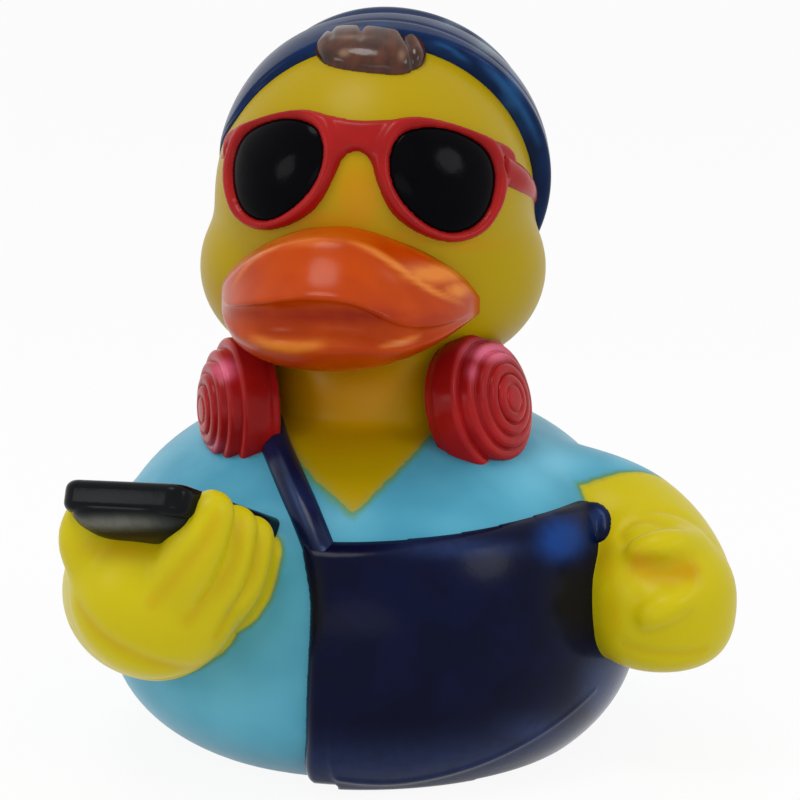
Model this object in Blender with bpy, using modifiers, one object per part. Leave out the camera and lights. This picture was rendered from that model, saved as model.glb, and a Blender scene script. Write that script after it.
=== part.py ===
"""A rubber duck in a knitted cap, sunglasses and headphones, with a phone in one hand and a bag on its front.

The real toy is one hollow vinyl moulding, painted in zones of colour, so the duck is one solid here.
It looks along -Y, its own left hand is at +X, and its flat base lies on z = 0.
"""

import math

import bmesh
import bpy
from mathutils import Euler, Vector

MM = 0.001

# Body: an egg with squared shoulders, cut flat at the base
BODY_HALF_WIDTH = 34.0 * MM
BODY_HALF_LENGTH = 36.0 * MM
BODY_HALF_HEIGHT = 26.0 * MM
BODY_UNDER_HEIGHT = 21.2 * MM
BODY_CENTRE = Vector((-0.8 * MM, 3.0 * MM, 17.0 * MM))
BODY_SQUARENESS = 2.3
BODY_UNDER_SQUARENESS = 2.6
BODY_TOP = BODY_CENTRE.z + BODY_HALF_HEIGHT

# Tail: a blunt upturned point that leaves the back of the body
TAIL_REACH = 6.6 * MM
TAIL_RISE = 18.0 * MM
TAIL_ROOT_RADIUS = 17.0 * MM
TAIL_TIP_RADIUS = 3.6 * MM
TAIL_ROOT_SHARE = 0.4

# Neck and head: a round skull over two full cheeks
NECK_RADIUS = 14.0 * MM
NECK_HALF_HEIGHT = 13.0 * MM
SKULL_RADII = (19.8 * MM, 20.5 * MM, 21.3 * MM)
SKULL_ABOVE_BODY = 24.0 * MM
SKULL = Vector((0, 0, BODY_TOP + SKULL_ABOVE_BODY))
CHEEK_RADII = (14.4 * MM, 15.5 * MM, 12.5 * MM)
CHEEK_SPREAD = 7.2 * MM
CHEEK_DROP = 8.3 * MM

# Bill: two pouting lips lofted across the face, measured from the skull's centre
BILL_MIDDLE = Vector((-1.2, 0, -10.6)) * MM
BILL_HALF_WIDTH = 15.5 * MM
BILL_TILT = math.radians(2.9)
BILL_ABOVE = 9.2 * MM
BILL_BELOW = 7.6 * MM
BILL_CORNER_Y = -12.5 * MM
BILL_TIP_Y = -33.0 * MM
BILL_FACE_Y = -19.5 * MM
BILL_ROOT_Y = -8.0 * MM
BILL_FLATNESS = 2.2
BILL_BLUNTNESS = 0.6
BILL_END_SHARE = 0.995
MOUTH_RISE = 1.8 * MM
MOUTH_DEPTH = 2.0 * MM
LOWER_LIP_BEHIND = 1.2 * MM
BILL_STATIONS = 20

# Sunglasses: their middle from the skull's centre, and half of the frame's outline from that middle
GLASSES_MIDDLE = Vector((0.4, 0, 4.5)) * MM
GLASSES_TILT = math.radians(2.9)
FRAME_PROUD = 1.4 * MM
LENS_PROUD = 1.0 * MM
HALF_FRAME = (
    (0, 6.3), (3.7, 6.6), (7.3, 6.9), (10.8, 6.3), (14.6, 4.9), (17.4, 3.6), (18.4, 1.6), (17.6, -1.2),
    (16.6, -3.8), (15.3, -6.0), (13.5, -7.1), (11.2, -7.4), (8.7, -6.8), (6.3, -5.6), (4.2, -3.8), (2.6, -0.8),
    (1.5, 1.8), (0, 2.6),
)
LENS_OUTLINE = (
    (4.1, 2.0), (5.2, 4.6), (8.2, 5.4), (11.5, 4.9), (14.6, 3.2), (15.9, 0.4), (15.2, -3.3), (13.4, -5.4),
    (10.6, -5.8), (7.6, -4.3), (5.0, -1.4),
)
LENS_SEAT = 0.3
HINGE = (17.4 * MM, 1.2 * MM)
ARM_RADIUS = 1.5 * MM
ARM_SUNK = 1.0 * MM
ARM_DROP = 4.0 * MM
ARM_START = math.radians(60)
ARM_END = math.radians(96)
ARM_STEPS = 4

# Knitted cap: a shell behind a leaning brim, with a folded cuff along the brim
CAP_RADII = (19.9 * MM, 21.6 * MM, 20.6 * MM)
CAP_PLACE = Vector((1.3, 1.5, 2.6)) * MM
CUFF_PROUD = 0.5 * MM
CUFF_WIDTH = 9.0 * MM
BRIM_PLACE = Vector((0, -9.2, 19.7)) * MM
BRIM_LEAN = math.radians(24)
BRIM_TURN = math.radians(9)

# Lock of hair under the brim: its outline from the skull's centre
HAIR_PROUD = 1.8 * MM
HAIR_OUTLINE = (
    (-5.8, 18.2), (-3.2, 16.9), (0.4, 16.3), (4.6, 16.0), (7.0, 16.6), (7.6, 18.4), (5.5, 21.0), (-3.5, 21.0),
)

# Headphone cups: stepped domes that lean on the neck and shoulders, and the band behind the neck
CUP_RADIUS = 8.6 * MM
CUP_BARREL = 0.8 * MM
CUP_BACK = 5.0 * MM
CUP_BACK_RADIUS = 6.0 * MM
CUP_DOME = 5.6 * MM
CUP_BUTTON_RADIUS = 1.3 * MM
CUP_RINGS = 5
CUP_GROOVE = 0.25 * MM
CUP_GROOVE_WIDTH = 0.35 * MM
CUP_SPREAD = 14.2 * MM
CUP_FORWARD = 10.0 * MM
CUP_ABOVE_BODY = -0.1 * MM
CUP_MIDDLE_X = -0.5 * MM
CUP_TURN = math.radians(65)
CUP_TIPS = {-1: 0.0, 1: math.radians(14)}
CUP_STEPS = 26
BAND_RADIUS = 2.0 * MM
BAND_SHOULDER = 0.75

# Bag on the belly: how far its face stands out, its outline in the front view from the middle of the base,
# and its shoulder strap, whose heights are measured from the top of the body
BAG_PROUD_SIDE = 0.5 * MM
BAG_PROUD_FRONT = 1.8 * MM
BAG_PROUD_BELOW = 1.5 * MM
BAG_OUTLINE = (
    (-3.6, 30.0), (-3.0, 16.0), (-4.2, 3.0), (-1.8, -3.0), (36.0, -3.0), (36.0, 12.0), (31.0, 16.0),
    (28.4, 21.0), (28.2, 25.6), (30.4, 27.0), (30.2, 30.2), (27.5, 31.8), (22.0, 32.0), (14.0, 31.2),
    (6.0, 30.6),
)
BAG_BACK_EDGE = 5.0 * MM
STRAP_RADIUS = 1.9 * MM
STRAP_SUNK = 0.5 * MM
STRAP_FRONT = ((-1.8, -15.0), (-3.6, -11.5), (-7.0, -7.0), (-11.0, -3.2), (-13.0, -1.5))
STRAP_BACK = ((-11.0, -1.5), (-4.0, -4.5), (8.0, -11.0), (20.0, -18.0), (30.0, -24.0), (34.0, -28.0))

# Arms: points along each one and the radius there, from the middle of the base
RIGHT_ARM = (((-20, 2, 26), 11.0), ((-28, -8, 21), 9.6), ((-25.5, -24, 21.5), 9.4), ((-20, -34, 24), 9.2))
LEFT_ARM = (((18, 3, 27), 11.0), ((28, 0, 26), 10.2), ((34.6, -5, 22.9), 9.6), ((36.2, -11, 21.2), 9.0))

# Right hand: a cupped palm and its grip under the phone, four fingers up one side, a thumb up the other
PALM_PLACE = Vector((-20.0, -37.0, 25.6)) * MM
PALM_RADII = (9.8 * MM, 8.8 * MM, 9.6 * MM)
GRIP_PLACE = Vector((-16.0, -31.0, 28.5)) * MM
GRIP_RADII = (6.6 * MM, 7.5 * MM, 6.0 * MM)
FINGER_RADII = (4.1, 3.7, 3.2, 2.7)
RIGHT_FINGERS = (
    ((-19.5, -39.5, 23.0), (-16.2, -43.0, 29.5), (-14.2, -43.8, 34.6), (-13.6, -42.6, 36.9)),
    ((-17.8, -37.0, 21.0), (-13.8, -39.2, 27.0), (-12.4, -39.0, 32.2), (-12.0, -37.8, 34.4)),
    ((-16.2, -34.2, 20.4), (-12.6, -35.4, 25.0), (-11.2, -35.0, 29.6), (-10.8, -33.6, 31.9)),
    ((-15.5, -31.2, 20.8), (-12.8, -31.6, 23.2), (-11.2, -31.0, 26.6), (-10.6, -29.6, 28.5)),
)
THUMB_RADII = (6.0, 4.8, 3.4, 2.6)
RIGHT_THUMB = ((-23.0, -36.0, 24.0), (-25.6, -38.5, 29.0), (-26.6, -40.5, 34.5), (-26.2, -41.5, 37.5))

# Left hand: a round fist whose finger and thumb pinch the edge of the bag
FIST_PLACE = Vector((36.4, -12.2, 21.0)) * MM
FIST_RADII = (9.3 * MM, 9.4 * MM, 10.0 * MM)
PINCH_RADII = (3.4, 3.1, 2.8, 2.3)
LEFT_FINGER = ((39.5, -12.6, 26.2), (38.0, -16.4, 27.6), (35.5, -17.8, 27.8), (34.0, -17.6, 27.2))
LEFT_THUMB = ((40.5, -15.5, 22.2), (38.5, -19.2, 22.0), (36.4, -20.8, 21.2), (35.4, -20.6, 20.6))

# Phone: a slab with rounded corners that slopes down towards the body
PHONE_SIZE = (15.8 * MM, 26.0 * MM, 3.6 * MM)
PHONE_PLACE = Vector((-18.0, -34.0, 34.0)) * MM
PHONE_TURN = Euler((math.radians(-21), math.radians(-3), math.radians(-18)))
PHONE_CORNER = 1.3 * MM

# Skin: how finely the moulded surface is meshed, how far its joins are softened, and how many faces stay
SKIN_CELL = 0.7 * MM
SKIN_SOFTENING_ROUNDS = 6
SKIN_SHARE_KEPT = 0.045
SKIN_SOFTENING_FACTOR = 0.5

SEGMENTS = 32
RINGS = 16
FAR = 200 * MM
PRISM_LENGTH = 60 * MM

# Painted zones: colour and roughness
FINISHES = {
    "yellow_vinyl": ((0.56, 0.43, 0.02), 0.35),
    "navy_paint": ((0.01, 0.03, 0.10), 0.25),
    "red_paint": ((0.40, 0.02, 0.02), 0.30),
    "orange_paint": ((0.60, 0.12, 0.01), 0.35),
    "black_paint": ((0.01, 0.01, 0.012), 0.20),
    "brown_paint": ((0.10, 0.03, 0.01), 0.25),
}


def finish_of(name, colour, roughness):
    """A painted-vinyl material."""
    made = bpy.data.materials.new(name)
    made.use_nodes = True
    shader = made.node_tree.nodes["Principled BSDF"]
    shader.inputs["Base Color"].default_value = (*colour, 1)
    shader.inputs["Roughness"].default_value = roughness
    shader.inputs["Metallic"].default_value = 0
    return made


def collection(name):
    """A new collection in the scene."""
    made = bpy.data.collections.new(name)
    bpy.context.scene.collection.children.link(made)
    return made


def as_object(name, bm, group):
    """A bmesh as an object in a collection. What only shapes another object is a guide, and isn't rendered."""
    bmesh.ops.recalc_face_normals(bm, faces=bm.faces)
    mesh = bpy.data.meshes.new(name)
    bm.to_mesh(mesh)
    bm.free()
    made = bpy.data.objects.new(name, mesh)
    group.objects.link(made)
    made.hide_render = True
    made.display_type = "WIRE"
    return made


def egg(name, centre, radii, group, squareness=2.0, under=None):
    """A closed egg: a sphere stretched to three radii, its upright outline squared by a power above 2.

    Its lower half may have a height and a power of its own.
    """
    bm = bmesh.new()
    bmesh.ops.create_uvsphere(bm, u_segments=SEGMENTS, v_segments=RINGS, radius=1)
    under = under or (radii[2], squareness)
    for vert in bm.verts:
        height, power = under if vert.co.z < 0 else (radii[2], squareness)
        level = math.hypot(vert.co.x, vert.co.y)
        reach = (abs(vert.co.z) ** power + level**power) ** (1 / power)
        stretched = (vert.co.x * radii[0], vert.co.y * radii[1], vert.co.z * height)
        vert.co = Vector(stretched) / reach + centre
    return as_object(name, bm, group)


def meshed(name, curve, group, place=Vector(), turn=Euler()):
    """A curve turned into a closed mesh, with its caps welded on."""
    guide = bpy.data.objects.new(name, curve)
    guide.location = place
    guide.rotation_euler = turn
    group.objects.link(guide)
    graph = bpy.context.evaluated_depsgraph_get()
    mesh = bpy.data.meshes.new_from_object(guide.evaluated_get(graph))
    bm = bmesh.new()
    bm.from_mesh(mesh)
    bmesh.ops.remove_doubles(bm, verts=bm.verts, dist=0.01 * MM)
    bmesh.ops.transform(bm, matrix=guide.matrix_world, verts=bm.verts)
    bpy.data.objects.remove(guide)
    return as_object(name, bm, group)


def limb(name, points, radii, group, sides=3):
    """A tapering round tube through points."""
    curve = bpy.data.curves.new(name, "CURVE")
    curve.dimensions = "3D"
    curve.resolution_u = 4
    curve.bevel_depth = 1
    curve.bevel_resolution = sides
    curve.use_fill_caps = True
    spline = curve.splines.new("NURBS")
    spline.points.add(len(points) - 1)
    for place, point, radius in zip(spline.points, points, radii):
        place.co = (*point, 1)
        place.radius = radius
    spline.order_u = 3
    spline.use_endpoint_u = True
    return meshed(name, curve, group)


def limb_in_mm(name, points, radii, group):
    """A limb whose points and radii are given in millimetres."""
    return limb(name, [Vector(point) * MM for point in points], [radius * MM for radius in radii], group)


def rounded_limb(name, points, radii, group):
    """A limb with a ball at its free end, as a fingertip has."""
    tube = limb_in_mm(name, points, radii, group)
    tip = egg(name + "_tip", Vector(points[-1]) * MM, [radii[-1] * MM] * 3, group)
    return [tube, tip]


def prism(name, outlines, group, place=Vector(), tilt=0.0, back=0.0, smooth=True):
    """Outlines of the front view, extruded from the viewer as far as y = back."""
    curve = bpy.data.curves.new(name, "CURVE")
    curve.dimensions = "2D"
    curve.fill_mode = "BOTH"
    curve.resolution_u = 3
    curve.extrude = PRISM_LENGTH / 2
    for outline in outlines:
        spline = curve.splines.new("BEZIER" if smooth else "POLY")
        points = spline.bezier_points if smooth else spline.points
        points.add(len(outline) - 1)
        for point, (x, z) in zip(points, outline):
            point.co = (x * MM, z * MM, 0) if smooth else (x * MM, z * MM, 0, 1)
            if smooth:
                point.handle_left_type = point.handle_right_type = "AUTO"
        spline.use_cyclic_u = True
    middle = Vector((place.x, back - PRISM_LENGTH / 2, place.z))
    return meshed(name, curve, group, middle, Euler((math.radians(90), tilt, 0)))


def joined(name, pieces, group):
    """Overlapping pieces gathered in one mesh."""
    bm = bmesh.new()
    for piece in pieces:
        bm.from_mesh(piece.data)
        bpy.data.objects.remove(piece)
    return as_object(name, bm, group)


def boolean(target, other, operation):
    """A Boolean modifier that stays on its object, and brings the other object's finish with its faces."""
    made = target.modifiers.new(other.name, "BOOLEAN")
    made.operation = operation
    made.object = other
    made.material_mode = "TRANSFER"


def grown(radii, growth):
    return [radius + growth for radius in radii]


def grown_face(growth, group):
    """The head's surface moved outward, from which the raised pieces of the face are cut."""
    face = egg("grown_face", SKULL, grown(SKULL_RADII, growth), group)
    for side in (-1, 1):
        centre = SKULL + Vector((side * CHEEK_SPREAD, 0, -CHEEK_DROP))
        boolean(face, egg("grown_cheek", centre, grown(CHEEK_RADII, growth), group), "UNION")
    return face


def relief(name, outlines, surface, group, **options):
    """A raised piece: what an outline's prism and a grown surface have in common."""
    made = prism(name, outlines, group, **options)
    boolean(made, surface, "INTERSECT")
    return made


def mirrored(half):
    """A closed outline from its right half, which starts and ends on the middle line."""
    return list(half) + [(-x, z) for x, z in reversed(half[1:-1])]


def body_depth(x, z, side):
    """Where the body's surface lies, in front (side -1) or behind (side 1), at a place of the front view."""
    height = abs(z - BODY_CENTRE.z) / BODY_HALF_HEIGHT
    level = (1 - height**BODY_SQUARENESS) ** (1 / BODY_SQUARENESS)
    across = min(abs(x - BODY_CENTRE.x) / BODY_HALF_WIDTH / level, 1)
    return BODY_CENTRE.y + side * BODY_HALF_LENGTH * level * math.sqrt(1 - across**2)


def build_skin(group, guides):
    """Body, tail, neck, head, arms and hands, melted together as in the mould."""
    body_radii = (BODY_HALF_WIDTH, BODY_HALF_LENGTH, BODY_HALF_HEIGHT)
    under = (BODY_UNDER_HEIGHT, BODY_UNDER_SQUARENESS)
    tail_root = BODY_CENTRE + Vector((0, BODY_HALF_LENGTH * TAIL_ROOT_SHARE, 0))
    tail_tip = BODY_CENTRE + Vector((0, BODY_HALF_LENGTH + TAIL_REACH, TAIL_RISE))
    tail_middle = Vector((0, BODY_CENTRE.y + BODY_HALF_LENGTH, BODY_CENTRE.z + TAIL_RISE / 3))
    tail_radii = (TAIL_ROOT_RADIUS, (TAIL_ROOT_RADIUS + TAIL_TIP_RADIUS) / 2, TAIL_TIP_RADIUS)
    pieces = [
        egg("body", BODY_CENTRE, body_radii, guides, BODY_SQUARENESS, under),
        egg("neck", Vector((0, 0, BODY_TOP)), (NECK_RADIUS, NECK_RADIUS, NECK_HALF_HEIGHT), guides),
        egg("skull", SKULL, SKULL_RADII, guides),
        limb("tail", (tail_root, tail_middle, tail_tip), tail_radii, guides),
        egg("tail_tip", tail_tip, [TAIL_TIP_RADIUS] * 3, guides),
        egg("palm", PALM_PLACE, PALM_RADII, guides),
        egg("grip", GRIP_PLACE, GRIP_RADII, guides),
        egg("fist", FIST_PLACE, FIST_RADII, guides),
    ]
    for side in (-1, 1):
        centre = SKULL + Vector((side * CHEEK_SPREAD, 0, -CHEEK_DROP))
        pieces.append(egg("cheek", centre, CHEEK_RADII, guides))
    for name, arm in (("right_arm", RIGHT_ARM), ("left_arm", LEFT_ARM)):
        points, radii = zip(*arm)
        pieces.append(limb_in_mm(name, points, radii, guides))
    for points in RIGHT_FINGERS:
        pieces += rounded_limb("right_finger", points, FINGER_RADII, guides)
    pieces += rounded_limb("right_thumb", RIGHT_THUMB, THUMB_RADII, guides)
    pieces += rounded_limb("left_finger", LEFT_FINGER, PINCH_RADII, guides)
    pieces += rounded_limb("left_thumb", LEFT_THUMB, PINCH_RADII, guides)
    skin = joined("duck", pieces, group)
    skin.hide_render = False
    skin.display_type = "TEXTURED"
    melt = skin.modifiers.new("melt", "REMESH")
    melt.mode = "VOXEL"
    melt.voxel_size = SKIN_CELL
    soften = skin.modifiers.new("soften", "SMOOTH")
    soften.factor = SKIN_SOFTENING_FACTOR
    soften.iterations = round(SKIN_SOFTENING_ROUNDS)
    thin = skin.modifiers.new("thin", "DECIMATE")
    thin.ratio = SKIN_SHARE_KEPT
    return skin


def bill_section(across):
    """The bill's outline from the side at a place across it, from -1 to 1, as (depth, height) points."""
    fullness = 1 - abs(across) ** BILL_FLATNESS
    front = BILL_CORNER_Y + (BILL_TIP_Y - BILL_CORNER_Y) * fullness**BILL_BLUNTNESS
    mouth = MOUTH_RISE * fullness
    top = BILL_ABOVE * fullness
    bottom = -BILL_BELOW * fullness
    face = BILL_CORNER_Y + (BILL_FACE_Y - BILL_CORNER_Y) * fullness**BILL_BLUNTNESS
    crease = front + MOUTH_DEPTH * fullness
    lower = front + LOWER_LIP_BEHIND * fullness
    return [
        (BILL_ROOT_Y, top),
        (face, top),
        (face + (front - face) * 0.55, mouth + (top - mouth) * 0.62),
        (front, mouth + (top - mouth) * 0.16),
        (front + (crease - front) * 0.3, mouth + (top - mouth) * 0.04),
        (crease, mouth),
        (lower, mouth + (bottom - mouth) * 0.1),
        (lower + (face - lower) * 0.02, mouth + (bottom - mouth) * 0.4),
        (lower + (face - lower) * 0.3, mouth + (bottom - mouth) * 0.8),
        (face, bottom),
        (BILL_ROOT_Y, bottom),
    ]


def build_bill(guides):
    """Both lips as one loft from corner to corner of the mouth, with its back inside the head."""
    bm = bmesh.new()
    rings = []
    for station in range(BILL_STATIONS + 1):
        across = -math.cos(math.pi * station / BILL_STATIONS) * BILL_END_SHARE
        ring = []
        for y, z in bill_section(across):
            place = Vector((across * BILL_HALF_WIDTH, 0, z))
            place.rotate(Euler((0, BILL_TILT, 0)))
            ring.append(bm.verts.new(SKULL + BILL_MIDDLE + place + Vector((0, y, 0))))
        rings.append(ring)
    for one, other in zip(rings, rings[1:]):
        for i in range(len(one)):
            j = (i + 1) % len(one)
            bm.faces.new((one[i], one[j], other[j], other[i]))
    bm.faces.new(rings[0])
    bm.faces.new(rings[-1])
    bmesh.ops.triangulate(bm, faces=bm.faces)
    return as_object("bill", bm, guides)


def box(name, size, centre, turn, group):
    """A box with its corners at half its size each way."""
    bm = bmesh.new()
    bmesh.ops.create_cube(bm, size=1)
    for vert in bm.verts:
        vert.co = Vector(vert.co[i] * size[i] for i in range(3))
        vert.co.rotate(turn)
        vert.co += centre
    return as_object(name, bm, group)


def build_glasses(guides):
    """Frame and lenses in relief on the face, and the two side arms."""
    middle = SKULL + GLASSES_MIDDLE
    right_lens = list(LENS_OUTLINE)
    left_lens = mirror_image(right_lens)
    frame_face = grown_face(FRAME_PROUD, guides)
    lens_face = grown_face(LENS_PROUD, guides)
    rim = [mirrored(HALF_FRAME), right_lens, left_lens]
    frame = relief("frame", rim, frame_face, guides, place=middle, tilt=GLASSES_TILT)
    lenses = [
        relief("lens", [widened(outline, LENS_SEAT)], lens_face, guides, place=middle, tilt=GLASSES_TILT)
        for outline in (right_lens, left_lens)
    ]
    side_arms = [side_arm(side, middle, guides) for side in (-1, 1)]
    return frame, lenses, side_arms


def mirror_image(outline):
    return [(-x, z) for x, z in reversed(outline)]


def widened(outline, margin):
    """An outline moved outward from its own middle."""
    middle = sum((Vector(point) for point in outline), Vector((0, 0))) / len(outline)
    return [tuple(Vector(point) + (Vector(point) - middle).normalized() * margin) for point in outline]


def side_arm(side, middle, guides):
    """The arm that runs back from the frame's hinge along the temple."""
    hinge_z = middle.z + HINGE[1] - side * HINGE[0] * math.sin(GLASSES_TILT)
    points = []
    for step in range(ARM_STEPS + 1):
        share = step / ARM_STEPS
        z = hinge_z - ARM_DROP * share
        turn = ARM_START + (ARM_END - ARM_START) * share
        level = math.sqrt(1 - ((z - SKULL.z) / SKULL_RADII[2]) ** 2)
        x = SKULL.x + side * (SKULL_RADII[0] - ARM_SUNK) * level * math.sin(turn)
        y = SKULL.y - (SKULL_RADII[1] - ARM_SUNK) * level * math.cos(turn)
        points.append(Vector((x, y, z)))
    return limb("side_arm", points, [ARM_RADIUS] * len(points), guides)


def build_cap(guides):
    """The cap's crown and its folded cuff, both cut off along the leaning brim."""
    turn = Euler((BRIM_LEAN, 0, BRIM_TURN))
    away = Vector((0, 1, 0))
    away.rotate(turn)
    brim = SKULL + BRIM_PLACE
    crown = egg("crown", SKULL + CAP_PLACE, CAP_RADII, guides)
    behind = box("behind_brim", [FAR] * 3, brim + away * (FAR / 2 + CUFF_WIDTH / 2), turn, guides)
    boolean(crown, behind, "INTERSECT")
    cuff = egg("cuff", SKULL + CAP_PLACE, grown(CAP_RADII, CUFF_PROUD), guides)
    slab = box("cuff_slab", (FAR, CUFF_WIDTH, FAR), brim + away * (CUFF_WIDTH / 2), turn, guides)
    boolean(cuff, slab, "INTERSECT")
    return [crown, cuff]


def cup_profile():
    """Half of a cup's section, from the middle of its face to the middle of its back, as (radius, height)."""
    points = [(0, CUP_DOME), (CUP_BUTTON_RADIUS, CUP_DOME)]
    ring_width = (CUP_RADIUS - CUP_BUTTON_RADIUS) / CUP_RINGS
    for ring in range(CUP_RINGS):
        inner = CUP_BUTTON_RADIUS + ring * ring_width
        height = CUP_DOME * math.sqrt(1 - ((inner + ring_width / 2) / CUP_RADIUS) ** 2)
        points.append((inner + CUP_GROOVE_WIDTH / 3, height - CUP_GROOVE))
        points.append((inner + CUP_GROOVE_WIDTH, height))
        points.append((inner + ring_width, height - CUP_GROOVE))
    return points + [(CUP_RADIUS, -CUP_BARREL), (CUP_BACK_RADIUS, -CUP_BACK), (0, -CUP_BACK)]


def build_cup(side, guides):
    """A headphone cup, turned from its profile and leant against the neck."""
    bm = bmesh.new()
    verts = [bm.verts.new((radius, 0, height)) for radius, height in cup_profile()]
    for pair in zip(verts, verts[1:]):
        bm.edges.new(pair)
    cup = as_object("cup", bm, guides)
    lathe = cup.modifiers.new("lathe", "SCREW")
    lathe.steps = lathe.render_steps = CUP_STEPS
    lathe.use_merge_vertices = True
    lathe.merge_threshold = 0.01 * MM
    cup.location = (CUP_MIDDLE_X + side * CUP_SPREAD, -CUP_FORWARD, BODY_TOP + CUP_ABOVE_BODY)
    cup.rotation_euler = Euler((math.radians(90) - CUP_TIPS[side], 0, side * CUP_TURN))
    return cup


def build_band(guides):
    """The headphones' band, round the back of the neck from cup to cup."""
    height = BODY_TOP + CUP_ABOVE_BODY
    points = [
        Vector((CUP_MIDDLE_X - CUP_SPREAD, -CUP_FORWARD, height)),
        Vector((-NECK_RADIUS - BAND_RADIUS, 0, height)),
        Vector((-NECK_RADIUS * BAND_SHOULDER, NECK_RADIUS, height)),
        Vector((0, NECK_RADIUS + BAND_RADIUS, height)),
        Vector((NECK_RADIUS * BAND_SHOULDER, NECK_RADIUS, height)),
        Vector((NECK_RADIUS + BAND_RADIUS, 0, height)),
        Vector((CUP_MIDDLE_X + CUP_SPREAD, -CUP_FORWARD, height)),
    ]
    return limb("band", points, [BAND_RADIUS] * len(points), guides)


def build_bag(guides):
    """The bag in relief on the belly, and its strap over the right shoulder and across the back."""
    half_width = BODY_HALF_WIDTH + BAG_PROUD_SIDE
    half_length = BODY_HALF_LENGTH + BAG_PROUD_FRONT
    half_height = BODY_HALF_HEIGHT + BAG_PROUD_BELOW
    under = (BODY_UNDER_HEIGHT + BAG_PROUD_BELOW, BODY_UNDER_SQUARENESS)
    radii = (half_width, half_length, half_height)
    surface = egg("bag_bulge", BODY_CENTRE, radii, guides, BODY_SQUARENESS, under)
    bag = relief("bag", [BAG_OUTLINE], surface, guides, back=BAG_BACK_EDGE, smooth=False)
    route = [(x, z, -1) for x, z in STRAP_FRONT] + [(x, z, 1) for x, z in STRAP_BACK]
    points = [strap_point(x * MM, BODY_TOP + z * MM, side) for x, z, side in route]
    return [bag, limb("strap", points, [STRAP_RADIUS] * len(points), guides)]


def strap_point(x, z, side):
    """A point of the strap's middle line, sunk a little into the body."""
    return Vector((x, body_depth(x, z, side) - side * STRAP_SUNK, z))


def build_phone(guides):
    """A slab with rounded corners."""
    phone = box("phone", PHONE_SIZE, PHONE_PLACE, PHONE_TURN, guides)
    bevel = phone.modifiers.new("rounding", "BEVEL")
    bevel.width = PHONE_CORNER
    bevel.segments = 3
    return phone


def build_duck():
    """The whole duck as one solid, with the floor cut off flat."""
    group = collection("rubber_duck")
    guides = collection("guides")
    finish = {name: finish_of(name, *looks) for name, looks in FINISHES.items()}
    duck = build_skin(group, guides)
    duck.data.materials.append(finish["yellow_vinyl"])
    frame, lenses, side_arms = build_glasses(guides)
    hair = relief("hair", [HAIR_OUTLINE], grown_face(HAIR_PROUD, guides), guides, place=SKULL)
    cups = [build_cup(side, guides) for side in (-1, 1)]
    zones = {
        "orange_paint": [build_bill(guides)],
        "black_paint": lenses + [build_phone(guides)],
        "red_paint": side_arms + [frame] + cups + [build_band(guides)],
        "brown_paint": [hair],
        "navy_paint": build_cap(guides) + build_bag(guides),
    }
    for name, raised in zones.items():
        for piece in raised:
            piece.data.materials.append(finish[name])
            boolean(duck, piece, "UNION")
    below = box("floor", [FAR] * 3, Vector((0, 0, -FAR / 2)), Euler(), guides)
    boolean(duck, below, "DIFFERENCE")


for left_over in list(bpy.data.objects):
    bpy.data.objects.remove(left_over)
build_duck()
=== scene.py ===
# %% [markdown]
# # A rubber duck in a cap and sunglasses
# The real toy is cast in one piece from soft vinyl, and every colour on it is sprayed or brushed on.
# So each form here is a smooth moulded one: balls and limbs that melt together, and low reliefs with round shoulders.
# All the making is done in millimetres, and only the last step of each piece turns them into metres.

import math

import bmesh
import bpy
import numpy as np
from mathutils import Euler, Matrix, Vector
from mathutils.bvhtree import BVHTree
from mathutils.geometry import delaunay_2d_cdt


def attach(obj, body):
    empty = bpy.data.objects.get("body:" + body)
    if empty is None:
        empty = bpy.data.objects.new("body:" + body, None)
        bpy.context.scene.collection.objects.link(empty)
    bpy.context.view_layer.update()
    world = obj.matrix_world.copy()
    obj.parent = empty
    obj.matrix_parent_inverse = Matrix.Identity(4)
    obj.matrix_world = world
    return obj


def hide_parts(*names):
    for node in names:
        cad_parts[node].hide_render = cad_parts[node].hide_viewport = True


MM = 0.001
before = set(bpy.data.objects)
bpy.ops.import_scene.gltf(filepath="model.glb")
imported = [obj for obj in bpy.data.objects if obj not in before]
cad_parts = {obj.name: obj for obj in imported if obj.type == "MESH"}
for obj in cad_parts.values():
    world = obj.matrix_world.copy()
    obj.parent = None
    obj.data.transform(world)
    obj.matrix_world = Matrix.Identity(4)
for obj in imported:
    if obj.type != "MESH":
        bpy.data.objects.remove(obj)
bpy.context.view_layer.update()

# %% [markdown]
# ## The camera
# The photo looks at the duck a little from above and from its left.
# The camera comes first, because some painted marks are placed by where the photo shows them.

# %% Camera
VIEW_TURN = math.radians(7)
VIEW_RISE = math.radians(10)
VIEW_DISTANCE = 300.0
PIXELS_PER_MM = 7.97
PICTURE = 800
SENSOR = 36.0
LOOK_HEIGHT = 44.3
LOOK_SHIFT = (25, -20)

RIGHT = Vector((math.cos(VIEW_TURN), math.sin(VIEW_TURN), 0))
UP = Vector((-math.sin(VIEW_TURN) * math.sin(VIEW_RISE), math.cos(VIEW_TURN) * math.sin(VIEW_RISE), math.cos(VIEW_RISE)))
FORWARD = UP.cross(RIGHT)
TARGET = Vector((0, 0, LOOK_HEIGHT)) + (RIGHT * LOOK_SHIFT[0] + UP * LOOK_SHIFT[1]) / PIXELS_PER_MM
EYE = TARGET - FORWARD * VIEW_DISTANCE
FOCAL_PIXELS = PIXELS_PER_MM * VIEW_DISTANCE

lens = bpy.data.cameras.new("camera")
lens.sensor_width = SENSOR
lens.lens = SENSOR * FOCAL_PIXELS / PICTURE
lens.clip_start = 0.01
camera = bpy.data.objects.new("camera", lens)
camera.location = EYE * MM
camera.rotation_euler = FORWARD.to_track_quat("-Z", "Y").to_euler()
bpy.context.scene.collection.objects.link(camera)
bpy.context.scene.camera = camera
print("camera at", tuple(round(c, 3) for c in camera.location), "lens", round(lens.lens, 1))

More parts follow.
